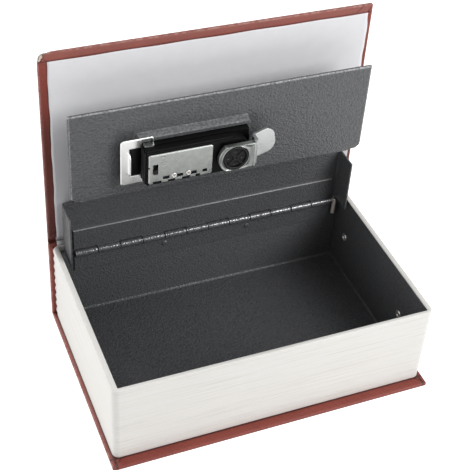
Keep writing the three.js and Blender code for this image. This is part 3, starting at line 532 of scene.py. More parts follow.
def make_piece(name, parts, material, body, replaces=None, sharp=35):
    """One mesh from (points in millimetres, faces) pairs. Edges sharper than the angle stay sharp."""
    points, faces, count = [], [], 0
    for part_points, part_faces in parts:
        points.append(np.reshape(part_points, (-1, 3)))
        faces += [[corner + count for corner in face] for face in part_faces]
        count += len(points[-1])
    mesh = bpy.data.meshes.new(name)
    mesh.from_pydata((np.concatenate(points) * MM).tolist(), [], faces)
    mesh.materials.append(material)
    mesh.shade_smooth()
    mesh.set_sharp_from_angle(angle=math.radians(sharp))
    made = put_in_scene(name, mesh)
    if replaces:
        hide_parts(replaces)
    if body:
        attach(made, body)
    print(name, "has", len(faces), "faces")
    return made


def rings(low, high, radius, corner_steps=6, side_steps=24, rear_radius=None):
    """Rounded rectangles, one a row. A corner is its centre plus radius times (cos t, sin t), and a side
    runs straight from the end of one corner to the start of the next. They turn anticlockwise. The two
    corners on the high side of the second axis may have a radius of their own."""
    low, high = np.atleast_2d(low).astype(float), np.atleast_2d(high).astype(float)
    near, rear = (np.broadcast_to(np.asarray(value, float), (len(low),))[:, None]
                  for value in (radius, radius if rear_radius is None else rear_radius))
    turn = np.linspace(0, np.pi / 2, corner_steps + 1)
    arcs = []
    for quarter, (right_side, top_side) in enumerate([(0, 0), (1, 0), (1, 1), (0, 1)]):
        t = turn + np.pi + quarter * np.pi / 2
        r = rear if top_side else near
        a = (high[:, :1] - r if right_side else low[:, :1] + r) + r * np.cos(t)
        b = (high[:, 1:] - r if top_side else low[:, 1:] + r) + r * np.sin(t)
        arcs.append(np.stack([a, b], -1))
    share = np.linspace(0, 1, side_steps + 1)[1:-1][None, :, None]
    straights = [arcs[k][:, -1:] + (arcs[(k + 1) % 4][:, :1] - arcs[k][:, -1:]) * share for k in range(4)]
    return np.concatenate([part for pair in zip(arcs, straights) for part in pair], 1)


def smooth_step(t):
    """0 below 0, 1 above 1, and 3 t squared minus 2 t cubed between them."""
    t = np.clip(t, 0, 1)
    return t * t * (3 - 2 * t)


# %% [markdown]
# ## The page block's relief
# Seen close, the page lines are shallow grooves that run round the moulding and fade in and out.
# The casing is a profile carried round a rounded rectangle: up the outside, over a softly rounded
# rim and down the inside. At the front and the ends a lip reaches over the cut edge of the steel box.

# %% Casing outline
sheet_gauge = 0.8
box_low, box_high = span("steel_box")
corner_radius, rear_radius = 3.5, 0.9
casing_steps = {"corner_steps": 10, "side_steps": 44}
rim, foot_z = casing_high[2], casing_low[2]
wall_z = np.arange(foot_z + 1.0, rim - 0.75, 0.32)
foot = np.array([(1.0, 0.0), (0.5, 0.1), (0.15, 0.35), (0.0, 0.8)])
lip = np.array([(0.0, 0.62), (0.06, 0.32), (0.2, 0.12), (0.42, 0.0)])
outer_inset = np.concatenate([foot[:, 0], 0 * wall_z, lip[:, 0]])
outer_z = np.concatenate([foot_z + foot[:, 1], wall_z, rim - lip[:, 1]])
outer = rings(casing_low[:2] + outer_inset[:, None], casing_high[:2] - outer_inset[:, None],
              corner_radius - outer_inset, rear_radius=rear_radius - outer_inset * 0.8, **casing_steps)
inner_z = np.array([rim, rim - 0.12, rim - 0.48, rim - 0.48, foot_z + 1, foot_z])
over_steel = np.array([sheet_gauge - 0.15, sheet_gauge + 0.02, sheet_gauge + 0.02, -0.2, -0.2, -0.2])[:, None]
behind_steel = 0.32 - 0.02 * np.sign(over_steel)
inner = rings(box_low[:2] + over_steel, box_high[:2] + np.concatenate([-over_steel, behind_steel], 1), 0.5,
              **casing_steps)
print("rows up the outside:", len(outer_z))

# %% [markdown]
# The outer wall has a row every third of a millimetre, and each row is pushed in by its own random
# depth, which changes slowly along the wall. Towards the spine the wall swells in nine raised bands,
# so there the depth follows the size of a sine instead, and the ends of the bands show as scallops
# along the two rear corners.

# %% Casing relief
front_groove, side_groove, scallop_depth, scallop_width = 0.16, 0.07, 0.9, 1.5
along = np.roll(outer[0], -1, 0) - np.roll(outer[0], 1, 0)
outward = np.stack([along[:, 1], -along[:, 0]], -1) / np.linalg.norm(along, axis=1)[:, None]
knots = 22
place_on_ring = np.arange(outer.shape[1]) / outer.shape[1] * knots
apart = np.abs((place_on_ring - np.arange(knots)[:, None] + knots / 2) % knots - knots / 2)
depth = np.random.default_rng(7).random((len(wall_z), knots)) ** 2 @ np.clip(1 - apart, 0, 1)
depth *= front_groove * np.clip(-outward[:, 1], 0, 1) + side_groove * np.abs(outward[:, 0])
outer[len(foot):len(foot) + len(wall_z)] -= outward[None] * depth[..., None]

bands, band_pitch = 9, 5.4
first_band = foot_z + (rim - foot_z - bands * band_pitch) / 2
swell = np.abs(np.sin(np.pi * (outer_z - first_band) / band_pitch))
outer[..., 1] = np.minimum(outer[..., 1], (casing_high[1] - scallop_depth * (1 - swell))[:, None])
near_spine = np.clip((outer[..., 1] - casing_high[1] + 3.5) / 2.6, 0, 1) ** 2
near_end = np.clip((np.abs(outer[..., 0]) - casing_high[0] + 9) / 9, 0, 1)
outer[..., 0] -= np.sign(outer[..., 0]) * near_spine * near_end * scallop_width * (1 - swell)[:, None]
casing_points = np.concatenate([with_third(outer, outer_z), with_third(inner, inner_z)])
make_piece("page_block", [sheet(casing_points, rows_close=True, columns_close=True)], page_plastic, "book",
           replaces="page_block_casing", sharp=60)

# %% [markdown]
# ## Wrapped boards
# A book cover is a board with leatherette glued over its outside and folded in over its edges. The
# folds meet in a mitre at each corner, a groove where one flap lies higher than the other. All of it
# is one surface: a rounded rectangle is carried over the outer face, round the edge, and in over the
# inner face to the opening where the lining starts, and then back under the leatherette. Only the
# rectangle's insets and its depth change from row to row.

# %% Wrapped board helpers


def wrapped_board(outline_low, outline_high, opening_low, opening_high, thickness):
    """Points (a, b, depth) of the wrap. depth runs from 0 at the outer face inwards. A row is the
    outline moved in by an inset, and on the inner face a mix of outline and opening."""
    skin, edge, corner, corner_steps = 0.3, 0.65, 1.0, 8
    t = np.linspace(0, np.pi / 2, 6)
    rows = [(14.0, 0, 0.0), (5.0, 0, 0.0), (2.0, 0, 0.0)]
    rows += [(edge * (1 - s), 0, edge * (1 - c)) for s, c in zip(np.sin(t), np.cos(t))]
    rows += [(edge * (1 - c), 0, thickness - edge * (1 - s)) for s, c in zip(np.sin(t), np.cos(t))]
    rows += [(edge, share, thickness) for share in (0.15, 0.4, 0.7, 0.93)]
    rows += [(edge, 1.0, thickness - 0.08), (edge, 1.0, thickness - skin), (edge, 0.2, thickness - skin),
             (skin + 0.1, 0, thickness - skin), (skin + 0.1, 0, skin), (14.0, 0, skin)]
    inset, share, depth = np.array(rows).T
    low, high = outline_low + inset[:, None], outline_high - inset[:, None]
    low, high = low + (opening_low - low) * share[:, None], high + (opening_high - high) * share[:, None]
    radius = np.where(share > 0, 0.8 - 0.3 * share, np.maximum(corner - inset, 0.15))
    points = with_third(rings(low, high, radius, corner_steps, side_steps=30), depth)
    count = points.shape[1]
    quarter, number = count // 4, np.arange(count)
    from_mitre, in_corner = (number - corner_steps // 2) % quarter, number % quarter
    flap = np.where(from_mitre < 8, 0.16 - 0.02 * from_mitre, 0) * (number // quarter % 2 == 0)
    flap = flap + np.where(from_mitre > quarter - 8, 0.02 * (from_mitre - quarter + 8), 0) * (
        (number + 8) // quarter % 2 == 1)
    groove = np.where(in_corner <= corner_steps, 0.55 * np.sin(np.pi * in_corner / corner_steps) ** 2, 0)
    from_edge = np.minimum(points[..., :2] - outline_low, outline_high - points[..., :2]).min(-1)
    crown = 0.16 * np.exp(-((from_edge - 1.1) / 0.6) ** 2)
    fading = np.sin(np.pi * np.clip(share, 0.05, 0.95))[:, None]
    points[..., 2] += (depth == thickness)[:, None] * (crown + (flap - groove)[None] * fading)
    return points


def inner_board(outline_low, outline_high, thickness):
    """The grey board inside a wrap: the same outline half a millimetre smaller, with broken edges."""
    inset, depth = np.array([(6, 0.34), (0.7, 0.34), (0.5, 0.5), (0.5, thickness - 0.5), (0.7, thickness - 0.34),
                             (6, thickness - 0.34)]).T
    ab = rings(outline_low + inset[:, None], outline_high - inset[:, None], 3.0, corner_steps=6, side_steps=4)
    return with_third(ab, depth)


def upright(flat, outer_y):
    """Turns (a, b, depth) into (x, y, z) for a board that stands up, with its outer face at outer_y."""
    return np.stack([flat[..., 0], outer_y - flat[..., 2], flat[..., 1]], -1)


# %% [markdown]
# The front cover's dropped corner is pushed in by a bell curve round its tip and crumpled a little.
# The leatherette is pressed flat where the endpaper lies on it and beside the fold.
# The spine is a wrapped board too. Its folds end under the page block, so only two millimetres of
# them show beside it. Inside both lies a plain slab of grey board, half a millimetre smaller.

# %% Covers and spine
lining_low, lining_high = span("back_lining_paper")
paper_low, paper_high = span("front_endpaper")
back_low, back_high = span("back_cover_leatherette")
cover_low, cover_high = span("front_cover_leatherette")
spine_low, spine_high = span("spine_leatherette")

back_points = wrapped_board(back_low[:2], back_high[:2], lining_low[:2] - 0.05, lining_high[:2] + 0.05,
                            back_high[2] - back_low[2])
cover_flat = wrapped_board(cover_low[[0, 2]], cover_high[[0, 2]], paper_low[[0, 2]] + 3, paper_high[[0, 2]] - 3,
                           cover_high[1] - cover_low[1])
cover_points = upright(cover_flat, cover_high[1])
from_dropped = np.linalg.norm(cover_points[..., [0, 2]] - [cover_low[0], cover_high[2]], axis=-1)
dent = np.exp(-(from_dropped / 3.4) ** 2)
cover_points += dent[..., None] * [1.25, 0, -1.0]
cover_points[..., 1] -= 0.15 * dent * (1 + np.sin(cover_points[..., 0] * 2.3 + cover_points[..., 2] * 1.7))
under_paper = ((cover_points[..., 2] < paper_high[2] - 1) & (cover_points[..., 0] > paper_low[0] - 0.3)
               & (cover_points[..., 0] < paper_high[0] - 1))
by_the_fold = cover_points[..., 2] < cover_low[2] + 6
pressed_flat = (cover_points[..., 1] < cover_low[1]) & (under_paper | by_the_fold)
cover_points[..., 1] = np.where(pressed_flat, cover_low[1], cover_points[..., 1])

spine_flat = wrapped_board(spine_low[[0, 2]], spine_high[[0, 2]], spine_low[[0, 2]] + 7, spine_high[[0, 2]] - 7,
                           spine_high[1] - spine_low[1])
spine_points = upright(spine_flat, spine_high[1])
under_lining = (spine_points[..., 2] > spine_high[2] - 2.4) & (spine_points[..., 1] < spine_low[1])
spine_points[..., 1] = np.where(under_lining, spine_low[1], spine_points[..., 1])

make_piece("back_cover_wrap", [closed(back_points)], leatherette, "book", replaces="back_cover_leatherette")
make_piece("front_cover_wrap", [closed(cover_points)], leatherette, "front_cover",
           replaces="front_cover_leatherette")
make_piece("spine_wrap", [closed(spine_points)], leatherette, "book", replaces="spine_leatherette")
for name, low, high, body, cad_piece in [
    ("front_greyboard", cover_low, cover_high, "front_cover", "front_cover_board"),
    ("spine_greyboard", spine_low, spine_high, "book", "spine_board"),
]:
    board = upright(inner_board(low[[0, 2]], high[[0, 2]], high[1] - low[1]), high[1])
    make_piece(name, [closed(board)], greyboard, body, replaces=cad_piece)

# %% [markdown]
# Between the spine and the front cover only the leatherette runs on, pressed into a shallow groove
# where it folds, with the endpaper glued inside it. The CAD model turns this strip at both of its
# edges, and a skin that bends can only follow one joint. The CAD model turns this strip at both of
# its edges, so the strip is two halves that meet in the middle, a lower one by the book and an upper
# one by the cover. Each layer is a flat loop, a profile of depth and height, carried along the book
# with tiny puckers. The layers are thin, because they fold down onto the top of the spine.

# %% Crease
strip_low, strip_high = span("front_cover_crease")
middle = (strip_low[2] + strip_high[2]) / 2
fold_reach = 0.6
crease_columns, crease_rows = 160, 12


def crease_layer(bottom, top, start, end, under, thickness):
    """A loop whose outer face lies under mm below the cover's. Across it that face dips by 0.08 mm times
    the cosine squared of the distance from the middle of the whole crease, and along it sines of
    random phase pucker it."""
    x = np.linspace(start, end, crease_columns)[None, :]
    z = np.concatenate([np.linspace(bottom, top, crease_rows), np.linspace(top, bottom, crease_rows)])[:, None]
    inner = np.repeat([0.0, 1.0], crease_rows)[:, None]
    phase = np.random.default_rng(3).random(4) * 2 * np.pi
    pucker = sum(np.sin(x * k + f) for k, f in zip((0.31, 0.53, 0.97, 1.7), phase)) * 0.008
    dip = 0.08 * np.cos(np.clip((z - middle) / 1.9, -1, 1) * np.pi / 2) ** 2
    points, faces = sheet(grid(x, strip_high[1] - under - dip - thickness * inner + pucker, z), rows_close=True)
    first_column = np.arange(2 * crease_rows) * crease_columns
    faces += [first_column.tolist(), (first_column + crease_columns - 1)[::-1].tolist()]
    return points, [face[::-1] for face in faces]


for half, bottom, top, lining_bottom, bodies, fold_start in [
    ("lower", strip_low[2] - 0.9, middle, strip_low[2] - 0.5, ("book", "cover_crease"), strip_low[2] - fold_reach),
    ("upper", middle, strip_high[2] + 0.9, middle, ("cover_crease", "front_cover"), strip_high[2]),
]:
    leather = crease_layer(bottom, top, strip_low[0] + 0.15, strip_high[0] - 0.15, 0.04, 0.2)
    lining = crease_layer(lining_bottom, top, paper_low[0], paper_high[0] - 0.3, 0.25, 0.04)
    for strip in [
        make_piece(f"crease_{half}", [leather], leatherette, None,
                   replaces="front_cover_crease" if half == "lower" else None),
        make_piece(f"crease_lining_{half}", [lining], endpaper, None),
    ]:
        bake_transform(strip)

# %% [markdown]
# ## Endpaper
# A pasted sheet lies over the folded leatherette, down to the crease. It is never quite flat, and its
# edge is cut by eye. The sheet is a height over the cover's plane: a few slow waves of less than a
# tenth of a millimetre, and an edge that wanders a little. A Solidify modifier gives it the
# thickness of paper.

# %% Endpaper
across = np.linspace(0, 1, 120)[None, :]
upwards = np.linspace(0, 1, 90)[:, None]
edge_left = paper_low[0] + 0.12 * np.sin(upwards * 19 + 1) + 0.08 * np.sin(upwards * 47)
edge_right = paper_high[0] - 0.25 + 0.16 * np.sin(upwards * 23) + 0.1 * np.sin(upwards * 61 + 2)
edge_right = edge_right - 0.5 * np.exp(-((1 - upwards) / 0.05) ** 2)
edge_top = paper_high[2] - 0.2 + 0.12 * np.sin(across * 31 + 1)
edge_bottom = cover_low[2] + 0.08
paper_x = edge_left + (edge_right - edge_left) * across
paper_z = edge_bottom + (edge_top - edge_bottom) * upwards
waves = 0.05 * np.sin(paper_x / 13 + paper_z / 29) + 0.04 * np.sin(paper_z / 9 - paper_x / 37)
corner_lift = 0.05 * np.exp(-((paper_x - paper_high[0]) ** 2 + (paper_z - paper_high[2]) ** 2) / 5 ** 2)
paper = grid(paper_x, cover_low[1] - 0.12 + waves - corner_lift, paper_z)
thicken(make_piece("endpaper_sheet", [sheet(paper)], endpaper, "front_cover", replaces="front_endpaper"), 0.18)

# %% [markdown]
# ## Steel lid
# The lid is folded from one sheet: a rear plate at the hinge with a flange bent forward at each end,
# a slope, and a flat lock plate. A rectangular boss is pressed forward out of the lock plate, with a
# window cut in it for the lock, and the outer edges of the plate are rolled back. Everything is
# drawn on the front face of the sheet, and a Solidify modifier adds the 0.8 mm behind it. The folds
# are arcs between straight runs.

# %% Rear plate and flanges


def folded_path(corners, radii, steps=7):
    """A polyline in a plane with each inner corner replaced by an arc that touches both sides."""
    corners = np.array(corners, float)
    path = [corners[:1]]
    for before, corner, after, radius in zip(corners, corners[1:], corners[2:], radii):
        a, b = before - corner, after - corner
        a, b = a / np.linalg.norm(a), b / np.linalg.norm(b)
        half = np.arccos(np.clip(a @ b, -1, 1)) / 2
        centre = corner + (a + b) / np.linalg.norm(a + b) * radius / np.sin(half)
        start, end = corner + a * radius / np.tan(half), corner + b * radius / np.tan(half)
        u, v = (start - centre) / radius, (end - centre) / radius
        turn = np.arccos(np.clip(u @ v, -1, 1))
        t = np.linspace(0, 1, steps)[:, None]
        path.append(centre + radius * (np.sin((1 - t) * turn) * u + np.sin(t * turn) * v) / np.sin(turn))
    path.append(corners[-1:])
    return np.concatenate(path)


def grid_stretches(*stretches):
    """Grid lines from stretches given as (from, to, how many), joined and sorted without repeats."""
    return np.unique(np.concatenate([np.linspace(a, b, n) for a, b, n in stretches]).round(5))


lid_low, lid_high = span("steel_lid")
lid_half = lid_high[0]
slope_half = lid_half - 6.5
rear_face = lid_high[1] - sheet_gauge
lock_face = 35.2
fold_low, fold_high = 80.9, 94.8
flange_x, flange_y = lid_half - sheet_gauge, 39.3
lid_x = grid_stretches((-slope_half, -50, 8), (-50, -45.4, 16), (-45.4, 10.5, 20), (10.5, 15, 16),
                       (15, slope_half, 16))
plan = folded_path([(-flange_x, flange_y), (-flange_x, rear_face), (flange_x, rear_face), (flange_x, flange_y)],
                   [0.7, 0.7])
left = np.concatenate([np.stack([np.full(8, plan[0][0]), np.linspace(flange_y, plan[1][1], 8)], -1),
                       plan[2:1 + (len(plan) - 2) // 2]])
plate_line = np.stack([lid_x, np.full(len(lid_x), rear_face)], -1)
channel_plan = np.concatenate([left, plate_line, (left * [-1, 1])[::-1]])
channel_z = np.linspace(lid_low[2], fold_low - 0.4, 12)
channel = with_third(np.broadcast_to(channel_plan[None], (12, len(channel_plan), 2)), channel_z)
print("rear plate:", channel.shape)

# %% [markdown]
# The boss is a distance: inside its rounded rectangle the sheet comes forward by a smooth step over
# 1.1 mm. The rolled edge is a quarter circle of the distance from the plate's outline.

# %% Lock plate
boss_low, boss_high = np.array([-48.2, 104.6]), np.array([13.3, 131.0])
window_low, window_high = np.array([-45.4, 107.4]), np.array([10.5, 128.2])
boss_rise, edge_roll = 4.5, 0.9


def inside_rectangle(x, z, low, high, radius):
    """Distance inwards from the edge of a rounded rectangle. It is negative outside."""
    centre, half = (np.array(low) + high) / 2, (np.array(high) - low) / 2
    qx, qz = np.abs(x - centre[0]) - half[0] + radius, np.abs(z - centre[1]) - half[1] + radius
    return radius - np.hypot(np.maximum(qx, 0), np.maximum(qz, 0)) - np.minimum(np.maximum(qx, qz), 0)


bend_rows = folded_path([(rear_face, fold_low - 0.4), (rear_face, fold_low), (lock_face, fold_high),
                         (lock_face, fold_high + 3)], [0.8, 1.6])[1:-1]
plate_z = grid_stretches((bend_rows[-1][1], 103.6, 6), (103.6, 107.4, 15), (107.4, 128.2, 10), (128.2, 132, 15),
                         (132, 146, 8), (146, lid_high[2], 9))[1:]
side = np.concatenate([bend_rows, np.stack([np.full(len(plate_z), lock_face), plate_z], -1)])
plate_x = grid_stretches((-lid_half, -lid_half + edge_roll, 8), (-lid_half, -slope_half, 12),
                         (slope_half, lid_half, 12), (lid_half - edge_roll, lid_half, 8))
plate_x = np.unique(np.concatenate([plate_x, lid_x]).round(5))
from_bottom = np.clip(side[:, 1] - bend_rows[-1][1], 0, 3)
from_top = np.clip(lid_high[2] - side[:, 1], 0, 1)
half_width = lid_half - 4 + np.sqrt(9 - (3 - from_bottom) ** 2) + np.sqrt(1 - (1 - from_top) ** 2)
beyond = np.clip(np.abs(plate_x) - slope_half, 0, None)
spread = beyond * (half_width[:, None] - slope_half) / (lid_half - slope_half)
x_rows = np.sign(plate_x) * (np.minimum(np.abs(plate_x), slope_half) + spread)
z_rows = side[:, 1:] + 0 * x_rows
pressed = boss_rise * smooth_step(inside_rectangle(x_rows, z_rows, boss_low, boss_high, 2.5) / 1.1)
to_outline = np.minimum(half_width[:, None] - np.abs(x_rows), lid_high[2] - z_rows)
rolled = edge_roll * (1 - np.sqrt(1 - np.clip(1 - to_outline / edge_roll, 0, 0.99) ** 2))
rolled = rolled * smooth_step((z_rows - fold_high - 1) / 2)
plate = grid(x_rows, side[:, :1] - pressed + rolled, z_rows)
quad_x = (plate_x[1:] + plate_x[:-1]) / 2
quad_z = ((side[1:, 1] + side[:-1, 1]) / 2)[:, None]
in_window = ((quad_x > window_low[0]) & (quad_x < window_high[0])
             & (quad_z > window_low[1]) & (quad_z < window_high[1]))
beside_slope = (np.abs(quad_x) > slope_half) & (np.arange(len(quad_z))[:, None] < len(bend_rows) - 1)
lid_parts = [sheet(channel), sheet(plate, keep=~in_window & ~beside_slope)]
sheet_metal(make_piece("folded_lid", lid_parts, lid_coat, "lid", replaces="steel_lid", sharp=50), sheet_gauge, 0.15)

# %% [markdown]
# ## Lining of the spine
# The endpaper runs on over the crease and down the spine to the page block. Its last part is a strip
# glued over the spine's top edge. It is a folded path like the lid's, carried along the book.

# %% Spine lining
lining_y, lining_z = folded_path([
    (spine_low[1] - 0.03, casing_high[2] - 1.0), (spine_low[1] - 0.13, casing_high[2] + 0.3),
    (spine_low[1] - 0.13, spine_high[2] + 0.07), (strip_low[1] - 0.1, spine_high[2] + 0.07)],
    [1.0, 0.3]).T[..., None]
lining_x = np.linspace(paper_low[0], paper_high[0] - 0.3, 60)[None, :]
lining = grid(lining_x, lining_y + 0.02 * np.sin(lining_x / 6), lining_z)
thicken(make_piece("spine_lining", [sheet(lining)], endpaper, "book", sharp=60), 0.05)

# %% [markdown]
# ## Piano hinge
# Each knuckle is the edge of its leaf, rolled round the pin until it nearly touches the leaf again,
# so a fine seam stays open. The profile is an arc of the outer radius, one of the inner radius back,
# and the flat tab. It is carried along the pin, once for each knuckle, and a Bevel breaks its ends.

# %% Hinge
leaf_low, leaf_high = span("hinge_lower_leaf")
upper_top = span("hinge_upper_leaf")[1][2]
knuckle_count, knuckle_gap = 12, 0.22
knuckle_pitch = (leaf_high[0] - leaf_low[0]) / knuckle_count
bore, outside, tab_end, curl = 1.02, 1.9, 2.2, 286


def extruded(profile, start, end):
    """A closed profile of (y, z) carried straight along X, with both ends closed."""
    y, z = np.array(profile, float).T
    return closed(grid(np.array([[start], [end]]), y[None], z[None]))


def rolled_leaf(first, away, reach):
    """Parts of one leaf. away is -1 where the leaf hangs below the pin and 1 where it stands above."""
    t = np.radians(np.linspace(0, curl, 40))
    arc = np.stack([np.cos(t), np.sin(t)], -1)
    knuckle = np.concatenate([arc * outside, (arc * bore)[::-1], [[bore, -tab_end], [outside, -tab_end]]])
    flat = np.array([[bore, -reach], [outside, -reach], [outside, -tab_end], [bore, -tab_end]])
    knuckle, flat = ((part * [1, -away])[::-away] + [hinge_y, hinge_z] for part in (knuckle, flat))
    parts = [extruded(flat, leaf_low[0], leaf_high[0])]
    for start in leaf_low[0] + np.arange(first, knuckle_count, 2) * knuckle_pitch:
        parts.append(extruded(knuckle, start + knuckle_gap, start + knuckle_pitch - knuckle_gap))
    return parts


for name, parts, body, cad_piece in [
    ("rolled_lower_leaf", rolled_leaf(0, -1, hinge_z - leaf_low[2]), "book", "hinge_lower_leaf"),
    ("rolled_upper_leaf", rolled_leaf(1, 1, upper_top - hinge_z), "lid", "hinge_upper_leaf"),
]:
    break_edges(make_piece(name, parts, hinge_coat, body, replaces=cad_piece), 0.12, 50)

# %% [markdown]
# ## Hinge pin and rivets
# Round parts are drawn in two ways. A pin is a round section carried along a path, here straight
# through the knuckles and bent down at the right so that it can't slide out. A rivet is a profile of
# radius and height turned round an axis. Tubular rivets are rolled over into a ring with a deep
# centre, and the two in the hinge have plain domes under the powder coat.

# %% Pin and rivets


def tube(path, normal, radii, sides=24):
    """A round section carried along a path in a plane: the path, plus a radius times (cos t across
    the path, sin t along the plane's normal)."""
    step = np.diff(path, axis=0)
    step /= np.linalg.norm(step, axis=1)[:, None]
    along = np.concatenate([step[:1], step[:-1] + step[1:], step[-1:]])
    along /= np.linalg.norm(along, axis=1)[:, None]
    across = np.cross(normal, along)[:, None]
    t = np.arange(sides)[:, None] / sides * 2 * np.pi
    return closed(path[:, None] + radii[:, None, None] * (np.cos(t) * across + np.sin(t) * np.array(normal)))


def turned(profile, centre, axis, steps=40):
    """A profile of (radius, height) turned round an axis: the centre, plus height times the axis, plus
    radius times (cos t, sin t) across it. Flat discs close both ends."""
    axis = np.array(axis, float)
    side = np.cross(axis, [0.36, 0.48, 0.8])
    side /= np.linalg.norm(side)
    t = np.arange(steps)[:, None] / steps * 2 * np.pi
    radius, height = np.array(profile, float).T[..., None, None]
    return closed(np.array(centre, float) + height * axis
                  + radius * (np.cos(t) * side + np.sin(t) * np.cross(axis, side)))


def rivet(name, cad_piece, axis, head_radius, head_height, hollow, material, body):
    """A rivet in the place of a CAD one, with its head at the end that the axis points to."""
    low, high = span(cad_piece)
    reach = (high - low) @ np.abs(axis)
    under_head = (low + high) / 2 + np.array(axis) * (reach / 2 - head_height)
    shank = [(0.55, (head_height - reach) / head_height), (0.55, -0.05), (0.97, 0.0), (1.0, 0.14)]
    ring = [(0.97, 0.5), (0.88, 0.86), (0.76, 1.0), (0.62, 0.93), (0.52, 0.62), (0.45, 0.0), (0.42, -0.9)]
    dome = [(0.97, 0.34), (0.86, 0.64), (0.64, 0.87), (0.34, 0.98), (0.06, 1.0)]
    profile = np.array(shank + (ring if hollow else dome)) * [head_radius, head_height]
    make_piece(name, [turned(profile, under_head, axis, 28)], material, body, replaces=cad_piece)


pin_low, pin_high = span("hinge_pin")
pin_end = pin_high[0] - 0.95
pin_route = folded_path([(pin_low[0] + 0.3, hinge_z), (pin_end, hinge_z), (pin_end, pin_low[2] + 0.3)], [1.9], 12)
pin_route = np.concatenate([[(pin_low[0], hinge_z)], pin_route, [(pin_end, pin_low[2])]])
pin_radii = np.where(pin_route[:, 0] > leaf_high[0], 1.08, 0.95)
pin_radii[[0, -1]] = 0.62
make_piece("bent_hinge_pin", [tube(np.insert(pin_route, 1, hinge_y, axis=1), (0, 1, 0), pin_radii)], pin_steel,
           "book", replaces="hinge_pin")
for i in (1, 2):
    rivet(f"domed_hinge_rivet_{i}", f"hinge_rivet_{i}", (0, -1, 0), 1.6, 0.5, False, powder_coat, "book")
    rivet(f"rolled_cover_rivet_{i}", f"cover_rivet_{i}", (0, -1, 0), 1.4, 0.6, True, bare_steel, "lid")
    rivet(f"domed_strike_rivet_{i}", f"strike_rivet_{i}", (0, 1, 0), 2.2, 0.7, False, bare_steel, "book")
for i, inward in enumerate([1, 1, -1, -1], 1):
    rivet(f"rolled_box_rivet_{i}", f"box_rivet_{i}", (inward, 0, 0), 2.4, 0.6, True, bare_steel, "book")

# %% [markdown]
# ## Steel box
# The box is folded from one blank too. The floor runs into the four walls through bends of about a
# millimetre, which catch a thin line of light, and the corners stay open by a hair. Each wall is a
# path across one axis that is carried along that axis. The rear wall ends lower, under the hinge.
# The strike bracket on the front wall is bent from thicker sheet, and its whole profile is carried.

# %% Box
inside_low, inside_high = box_low + sheet_gauge, box_high - sheet_gauge
bend, seam = 1.2, 0.3
floor_z = inside_low[2]


def carried(path, axis, stations):
    """A path across an axis (0 is X, 1 is Y), carried along it: a row for each point of the path and a
    column for each station. The order of the stations turns the faces over."""
    across, height = np.array(path, float).T[..., None]
    stations = np.array(stations, float)
    return sheet(grid(stations, across, height) if axis == 0 else grid(across, stations, height))


def wall_path(wall, top):
    """From the foot of the bend on the floor, round the bend and up to the top of the wall."""
    return folded_path([(0, floor_z), (wall, floor_z), (wall, top)], [bend], 8)[1:]


x_low, x_high, y_low, y_high = inside_low[0], inside_high[0], inside_low[1], inside_high[1]
sheet_metal(make_piece("folded_box", [
    carried([(y_low + bend, floor_z), (y_high - bend, floor_z)], 0, (x_low + bend, x_high - bend)),
    carried(wall_path(x_low, box_high[2]), 1, (box_low[1], box_high[1])),
    carried(wall_path(x_high, box_high[2]), 1, (box_high[1], box_low[1])),
    carried(wall_path(y_low, box_high[2]), 0, (x_high - seam, x_low + seam)),
    carried(wall_path(y_high, leaf_high[2]), 0, (x_low + seam, x_high - seam)),
], powder_coat, "book", replaces="steel_box", sharp=50), sheet_gauge, 0.15)

strike_low, strike_high = span("strike_bracket")
strike_gauge = 1.5
back_y, back_z = strike_low[1] + strike_gauge, strike_low[2] + strike_gauge
strike_profile = np.concatenate([
    folded_path([(strike_low[1], strike_high[2]), (strike_low[1], strike_low[2]), (strike_high[1], strike_low[2])],
                [2.2]),
    folded_path([(strike_high[1], back_z), (back_y, back_z), (back_y, strike_high[2])], [0.7])])
make_piece("bent_strike_bracket", [extruded(strike_profile, strike_low[0], strike_high[0])], powder_coat, "book",
           replaces="strike_bracket")

# %% [markdown]
# ## Stamped lock parts
# The dial cover plate, the clip and the outer bezel are stampings: sheet with openings punched in
# it. Each is a grid over X and Z whose lines are moved onto the edges of the openings, and the quads
# inside an opening are left out. A depth over the grid rolls the edges back and stamps small marks.

# %% Stamping helpers


def grid_lines(low, high, count, exact=()):
    """Evenly spaced lines. The nearest line is moved onto each exact place."""
    made = np.linspace(low, high, count)
    for place in exact:
        made[1 + np.argmin(np.abs(made[1:-1] - place))] = place
    return made


def rounded_corners(x, z, low, high, radius):
    """In a corner square, (u, v) counted in radii from its inner point is multiplied by the larger of
    u and v and divided by the length of (u, v), so that the square's rim becomes an arc."""
    centre, half = (np.array(low) + high) / 2, (np.array(high) - low) / 2
    u = np.clip((np.abs(x - centre[0]) - half[0]) / radius + 1, 0, 1)
    v = np.clip((np.abs(z - centre[1]) - half[1]) / radius + 1, 0, 1)
    corner = (u > 0) & (v > 0)
    pull = np.where(corner, np.maximum(u, v) / np.maximum(np.hypot(u, v), 1e-9), 1) - 1
    return x + np.sign(x - centre[0]) * u * pull * radius, z + np.sign(z - centre[1]) * v * pull * radius


def punched(x_lines, z_lines, holes, depth, corner):
    """A sheet over X and Z with depth(x, z) as its Y. Each hole is (from x, to x, from z, to z)."""
    x, z = np.meshgrid(x_lines, z_lines)
    middle_x, middle_z = (x[1:, 1:] + x[:-1, :-1]) / 2, (z[1:, 1:] + z[:-1, :-1]) / 2
    keep = np.ones(middle_x.shape, bool)
    for x0, x1, z0, z1 in holes:
        keep &= ~((middle_x > x0) & (middle_x < x1) & (middle_z > z0) & (middle_z < z1))
    low, high = (x.min(), z.min()), (x.max(), z.max())
    from_edge = np.minimum(np.minimum(x - low[0], high[0] - x), np.minimum(z - low[1], high[1] - z))
    y = depth(x, z, from_edge)
    x, z = rounded_corners(x, z, low, high, corner)
    return sheet(grid(x, y, z), keep=keep)


